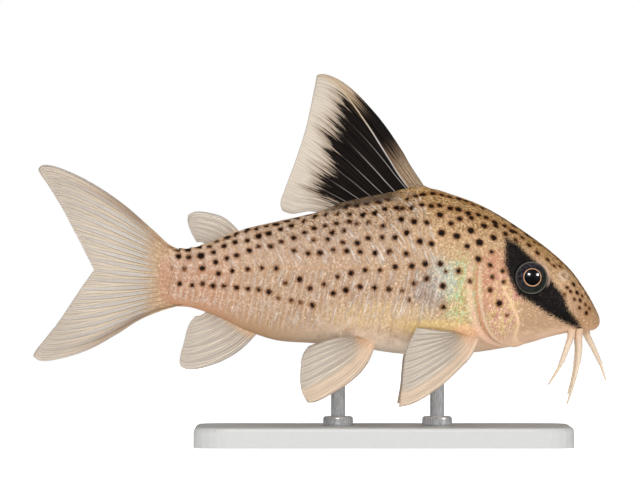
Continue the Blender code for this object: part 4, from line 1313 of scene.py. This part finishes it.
def tail_material(rays, speckle):
    """Tail fin with tan, closely rayed upper and lower edges and skin that fades onto its root."""
    material, shader, colour, pattern, places = fin_material(
        "tail_membrane", rays, speckle, TAIL_TONES, width=0.17, root_reach=0.2)
    along, share = places[1:]
    strand = pattern["Strand"]
    outer = abs(share.line(2.0, -1.0))
    edge = outer.ramp(0.78, 0.95) * along.ramp(1.0, 0.3) * strand.line(-0.45, 0.95)
    colour = colour.tint(edge, (0.30, 0.18, 0.10))
    tip = outer.ramp(0.3, 0.8) * along.ramp(0.5, 1.0)
    colour = colour.tint(tip * 0.6, (0.50, 0.42, 0.35))
    tree = colour.tree
    grains = use_group(tree, speckle, Place=object_place(tree), Grain=3.7, Fleck=3.3)
    # Skin tone over the fin's root, lighter on the pale flecks, which are partly painted glints.
    flesh = grains["Bright"].between((0.58, 0.37, 0.22), (0.84, 0.66, 0.46))
    behind = strand.line(1.6, attribute(tree, "plane").parts()[0])
    give_all(shader, Base_Color=colour.tint(behind.ramp(59.2, 57.0, 0.0, 0.9), flesh))
    return material


def paired_material(rays, speckle):
    """Paired fin with a broad peach-cream first ray broken by painted shade in its grooves, and an
    orange-pink root lightened further as painted light.
    """
    material, shader, colour, pattern, places = fin_material(
        "paired_membrane", rays, speckle, PALE_TONES, width=0.14, root_reach=0.12)
    across, along, share = places
    # The first ray's tone gives way to the painted shade in the grooves between its rays.
    lead = pattern["Valley"].line(-0.6, across.ramp(2.3, 1.9, 0.0, 0.9)).most(0.0)
    first = pattern["Strand"].between((0.70, 0.50, 0.36), (0.90, 0.74, 0.56))
    # Orange-pink root, partly its own colour and partly painted light that lifts the shade the body casts on
    # it.
    glow = along.ramp(0.36, 0.05) * share.ramp(0.7, 0.15)
    give_all(shader, Base_Color=colour.tint(lead, first).tint(glow * 0.8, (1.0, 0.74, 0.54)))
    return material


# Border of the dorsal fin's black patch: height and distance behind the snout
BLOTCH_EDGE = [
    (12.0, 33.7), (13.0, 35.4), (14.4, 35.8), (15.9, 34.6), (17.8, 34.5), (20.4, 33.7), (22.6, 33.6),
    (24.7, 32.7), (27.0, 31.8), (29.0, 30.0),
]


def add_blotch(fin):
    """Keep on the dorsal fin's points how far inside the black patch they lie."""
    behind, height = read_vectors(fin.data.attributes["plane"].data, "vector").T[:2]
    heights, places = zip(*BLOTCH_EDGE)
    keep_values(fin.data, "blotch", through(heights, places, height) - behind)


def dorsal_material(rays, speckle):
    """Cream dorsal fin with a ragged black patch, thin pale rays in it and a tan spine base."""
    material, shader, colour, pattern, places = fin_material(
        "dorsal_membrane", rays, speckle, DORSAL_TONES, width=0.1, root_reach=0.06)
    across, along = places[:2]
    strand = pattern["Strand"]
    tree = colour.tree
    hairs = joined(across * 6.5, along * 1.6).noise(1.2, 4.0, 0.75).line(10.0, -5.0)
    hairs = hairs + joined(across * 1.2, along * 0.8, 3.0).noise(1.0, 2.0).line(5.0, -2.5)
    inside = attribute(tree, "blotch", "Fac") + hairs
    black = inside.ramp(-0.4, 0.6)
    ink = strand.between((0.004, 0.003, 0.003), (0.014, 0.010, 0.008))
    pale = pattern["Core"] * along.ramp(0.7, 0.1, 0.0, 0.65) * strand.line(0.6, 0.4) * across.ramp(1.1, 1.4)
    ink = ink.tint(pale, (0.56, 0.50, 0.46))
    height = attribute(tree, "plane").parts()[1]
    colour = colour.tint(height.ramp(23.0, 28.5, 0.0, 0.3), (0.42, 0.36, 0.30))
    colour = colour.tint(inside.ramp(-2.6, -0.2) * 0.6, (0.28, 0.18, 0.10))
    colour = colour.tint(black, ink)

    first = across + (along * along.line(0.8, 0.5) - 1.35)
    ragged = strand.line(0.16, along)
    spine = first.ramp(0.05, -0.1) * ragged.ramp(0.46, 0.3)
    tan = strand.between((0.13, 0.08, 0.045), (0.56, 0.42, 0.29))
    grain = object_place(tree).noise(4.5, 3.0, 0.7).ramp(0.5, 0.6, 0.0, 0.6)
    colour = colour.tint(spine, tan.tint(grain, (0.16, 0.09, 0.045)))
    tip = first.ramp(0.3, -0.3) * ragged.ramp(0.72, 0.95)
    colour = colour.tint(tip * 0.85, (0.52, 0.37, 0.23))
    line = abs(first).ramp(0.065, 0.02) * along.ramp(0.04, 0.1)
    line_tone = along.ramp(0.4, 0.7).between((0.60, 0.56, 0.52), (0.58, 0.45, 0.30))
    colour = colour.tint(line * 0.8, line_tone)
    alpha = black.most(spine).most(along.ramp(0.12, 0.05)).ramp(0.0, 1.0, WEB_ALPHA, 1.0)
    give_all(shader, Base_Color=colour, Alpha=alpha, Specular_IOR_Level=0.03)
    return material


# Other materials

def barbel_material(speckle):
    material, tree, shader = new_material("barbel_skin")
    grains = use_group(tree, speckle, Place=object_place(tree), Grain=6.0, Fleck=5.0)
    along = attribute(tree, "along", "Fac")
    colour = along.ramp(0.0, 0.35).between((0.66, 0.45, 0.30), (0.72, 0.58, 0.43))
    give_all(shader, Base_Color=colour.tint(grains["Dark"] * 0.2, (0.5, 0.32, 0.2)), Roughness=0.42)
    add_relief(shader, grains["Mottle"], distance=0.00003)
    return material


def eye_material():
    """Dark iris with a painted violet and green sheen, a gold ring round a black pupil and a pale outer ring.
    """
    material, tree, shader = new_material("eye_iris")
    reach, gleam = attribute(tree, "iris").parts()[:2]
    cloud = object_place(tree).noise(2.5, 4.0, 0.65)
    # Painted sheen: violet towards the upper back of the iris, green towards the lower front.
    sheen = gleam.ramp(-0.9, 0.9).between((0.016, 0.020, 0.014), (0.050, 0.040, 0.056))
    colour = cloud.ramp(0.38, 0.62).between((0.008, 0.007, 0.007), sheen)
    colour = colour.tint(reach.band(0.465, 0.485, 0.51, 0.535), (0.62, 0.34, 0.19))
    colour = colour.tint(reach.ramp(0.485, 0.46), (0.001, 0.001, 0.0015))
    colour = colour.tint(reach.band(0.86, 0.89, 0.91, 0.94) * 0.6, (0.26, 0.26, 0.20))
    colour = colour.tint(reach.ramp(0.945, 0.97), (0.010, 0.008, 0.007))
    give_all(shader, Base_Color=colour, Roughness=cloud.ramp(0.3, 0.7, 0.25, 0.4), Specular_IOR_Level=0.1,
             Coat_Weight=1.0, Coat_Roughness=0.02)
    return material


def base_material():
    material, tree, shader = new_material("stand_base_satin")
    grain = object_place(tree).noise(2.0, 5.0, 0.6)
    colour = grain.between((0.50, 0.50, 0.49), (0.57, 0.57, 0.56))
    give_all(shader, Base_Color=colour, Roughness=grain.ramp(0.2, 0.8, 0.35, 0.5))
    return material


def rod_material():
    """Steel brushed along its length."""
    material, tree, shader = new_material("stand_rod_steel")
    x, y, z = object_place(tree).parts()
    brushed = joined(x * 8.0, y * 8.0, z).noise(1.0, 3.0)
    colour = brushed.between((0.55, 0.56, 0.58), (0.75, 0.76, 0.78))
    give_all(shader, Base_Color=colour, Roughness=brushed.ramp(0.2, 0.8, 0.2, 0.38), Metallic=0.4)
    return material


# Stand

COLLAR_RADIUS = 1.9
COLLAR_HEIGHT = 1.3
COLLAR_BEVEL = 0.35
COLLAR_SUNK = 0.1


def give_node(name, material):
    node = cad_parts[name]
    node.data.materials.clear()
    node.data.materials.append(material)


def make_collar(rod, material):
    """Turned collar that holds a rod on the base."""
    low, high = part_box(rod)
    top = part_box("stand_base")[1][2]
    rise = (COLLAR_HEIGHT / 2.0 - COLLAR_SUNK) * MM
    middle = ((low[0] + high[0]) / 2.0, (low[1] + high[1]) / 2.0, top + rise)
    collar = added(rod + "_collar", bpy.ops.mesh.primitive_cylinder_add, vertices=96,
                   radius=COLLAR_RADIUS * MM, depth=COLLAR_HEIGHT * MM, location=middle)
    bpy.ops.object.transform_apply(location=True)
    bevel = collar.modifiers.new("round_edges", "BEVEL")
    bevel.width = COLLAR_BEVEL * MM
    bevel.segments = 4
    bpy.ops.object.modifier_apply(modifier=bevel.name)
    bpy.ops.object.shade_smooth_by_angle(angle=math.radians(35.0))
    finish_piece(collar, material, "stand_rod")


# Stage, light and camera

FLOOR_RADIUS = 0.6
FLOOR_DROP = 0.0001
FLOOR_GLOW = 0.8
WORLD_LIGHT = 0.36
GLOSS_DIMMING = 0.8
LENS = 400.0
SENSOR = 36.0

# Lamps: place, size, power and whether they are only mirrored
LAMPS = {
    "left_soft_box": ((-0.27, -0.72, 0.47), 0.1, 1.28, False),
    "right_soft_box": ((0.5, -0.66, 0.47), 0.1, 1.46, False),
    "left_glint": ((-0.04, -0.72, 0.47), 0.15, 4.5, True),
    "right_glint": ((0.98, -0.66, 0.55), 0.2, 9.0, True),
    "low_fill": ((0.0, -1.15, 0.06), 0.5, 4.0, False),
    "rear_fill": ((0.0, 0.8, 0.35), 0.4, 1.2, False),
    "top_light": ((0.0, 0.05, 0.8), 0.6, 1.3, False),
}
LAMP_TARGET = (0.0, 0.0, 0.026)


def make_stage():
    """A pale round floor that glows a little, so that it stays white and lights the belly."""
    floor = added("studio_floor", bpy.ops.mesh.primitive_circle_add, vertices=96, radius=FLOOR_RADIUS,
                  fill_type="NGON", location=(0.0, 0.0, -FLOOR_DROP))
    bpy.ops.object.transform_apply(location=True)
    material, _, shader = new_material("studio_floor")
    give_all(shader, Base_Color=(0.9, 0.9, 0.9), Roughness=0.9, Specular_IOR_Level=0.0,
             Emission_Color=(1.0, 1.0, 1.0), Emission_Strength=FLOOR_GLOW)
    floor.data.materials.append(material)
    floor.visible_glossy = False


def add_lamp(name, place, size, power, mirrored):
    """Square lamp that either lights the model softly or is only mirrored in its gloss."""
    light = bpy.data.lights.new(name, "AREA")
    light.shape = "SQUARE"
    light.size = size
    light.energy = power
    lamp = bpy.data.objects.new(name, light)
    lamp.location = place
    lamp.rotation_euler = (Vector(LAMP_TARGET) - Vector(place)).to_track_quat("-Z", "Y").to_euler()
    lamp.visible_glossy = mirrored
    lamp.visible_diffuse = not mirrored
    bpy.context.scene.collection.objects.link(lamp)


def make_light():
    """Soft boxes, glints and fills, and a white surround that lights and mirrors less than it shows."""
    for name, (place, size, power, mirrored) in LAMPS.items():
        add_lamp(name, place, size, power, mirrored)
    world = bpy.data.worlds.new("studio")
    world.use_nodes = True
    tree = world.node_tree
    rays = named_outputs(tree, tree.nodes.new("ShaderNodeLightPath"))
    strength = rays["Is Camera Ray"].line(1.0 - WORLD_LIGHT, WORLD_LIGHT)
    strength = strength * rays["Is Glossy Ray"].line(-GLOSS_DIMMING, 1.0)
    give_all(tree.nodes["Background"], Color=(1.0, 1.0, 1.0), Strength=strength)
    bpy.context.scene.world = world
    bpy.context.scene.view_settings.view_transform = "Standard"


def make_camera():
    """Long lens level with the fish, framed as the photograph."""
    camera = bpy.data.cameras.new("camera")
    camera.lens = LENS
    camera.sensor_width = SENSOR
    camera.clip_start = 0.01
    away = PHOTO_WIDTH * PIXEL_MM * MM * LENS / SENSOR
    holder = bpy.data.objects.new("camera", camera)
    holder.location = (PHOTO_MIDDLE_X * MM, -away, PHOTO_MIDDLE_Z * MM)
    holder.rotation_euler = (math.radians(90.0), 0.0, 0.0)
    bpy.context.scene.collection.objects.link(holder)
    bpy.context.scene.camera = holder


def build():
    speckle = speckle_group()
    pattern = ray_group()
    make_skin(skin_material(speckle))
    pale = fin_material("fin_membrane", pattern, speckle, PALE_TONES, width=0.1)[0]
    paired = paired_material(pattern, speckle)
    dorsal = dorsal_material(pattern, speckle)
    add_blotch(median_fin("dorsal_fin", dorsal, rays=9, spine=0.35, root=0.3, rows=110, columns=150,
                          slot="dorsal_fin", bend=DORSAL_BEND))
    median_fin("adipose_fin", pale, rays=7, spine=0.25, root=0.25, rows=60, columns=90)
    median_fin("anal_fin", pale, rays=8, spine=0.25, root=0.25, rows=80, columns=110)
    tail_fin(tail_material(pattern, speckle), lobe_rays=9, spine=0.42, root=0.3, rows=130, columns=260)
    barbel = barbel_material(speckle)
    iris = eye_material()
    for word, side in SIDES.items():
        for kind, sizes in PAIRED_FINS.items():
            paired_fin(kind, word, paired, *sizes)
        make_barbel("barbel_chin_" + word, side, CHIN_BARBELS, barbel, root_radius=0.28)
        make_eye(word, side, iris)
    for name, (side, places) in BARBELS.items():
        make_barbel(name, side, places, barbel, root_radius=0.44)
    give_node("stand_base", base_material())
    steel = rod_material()
    for rod in ("stand_rod_front", "stand_rod_rear"):
        give_node(rod, steel)
        make_collar(rod, steel)
    make_stage()
    make_light()
    make_camera()


build()

bpy.context.view_layer.update()
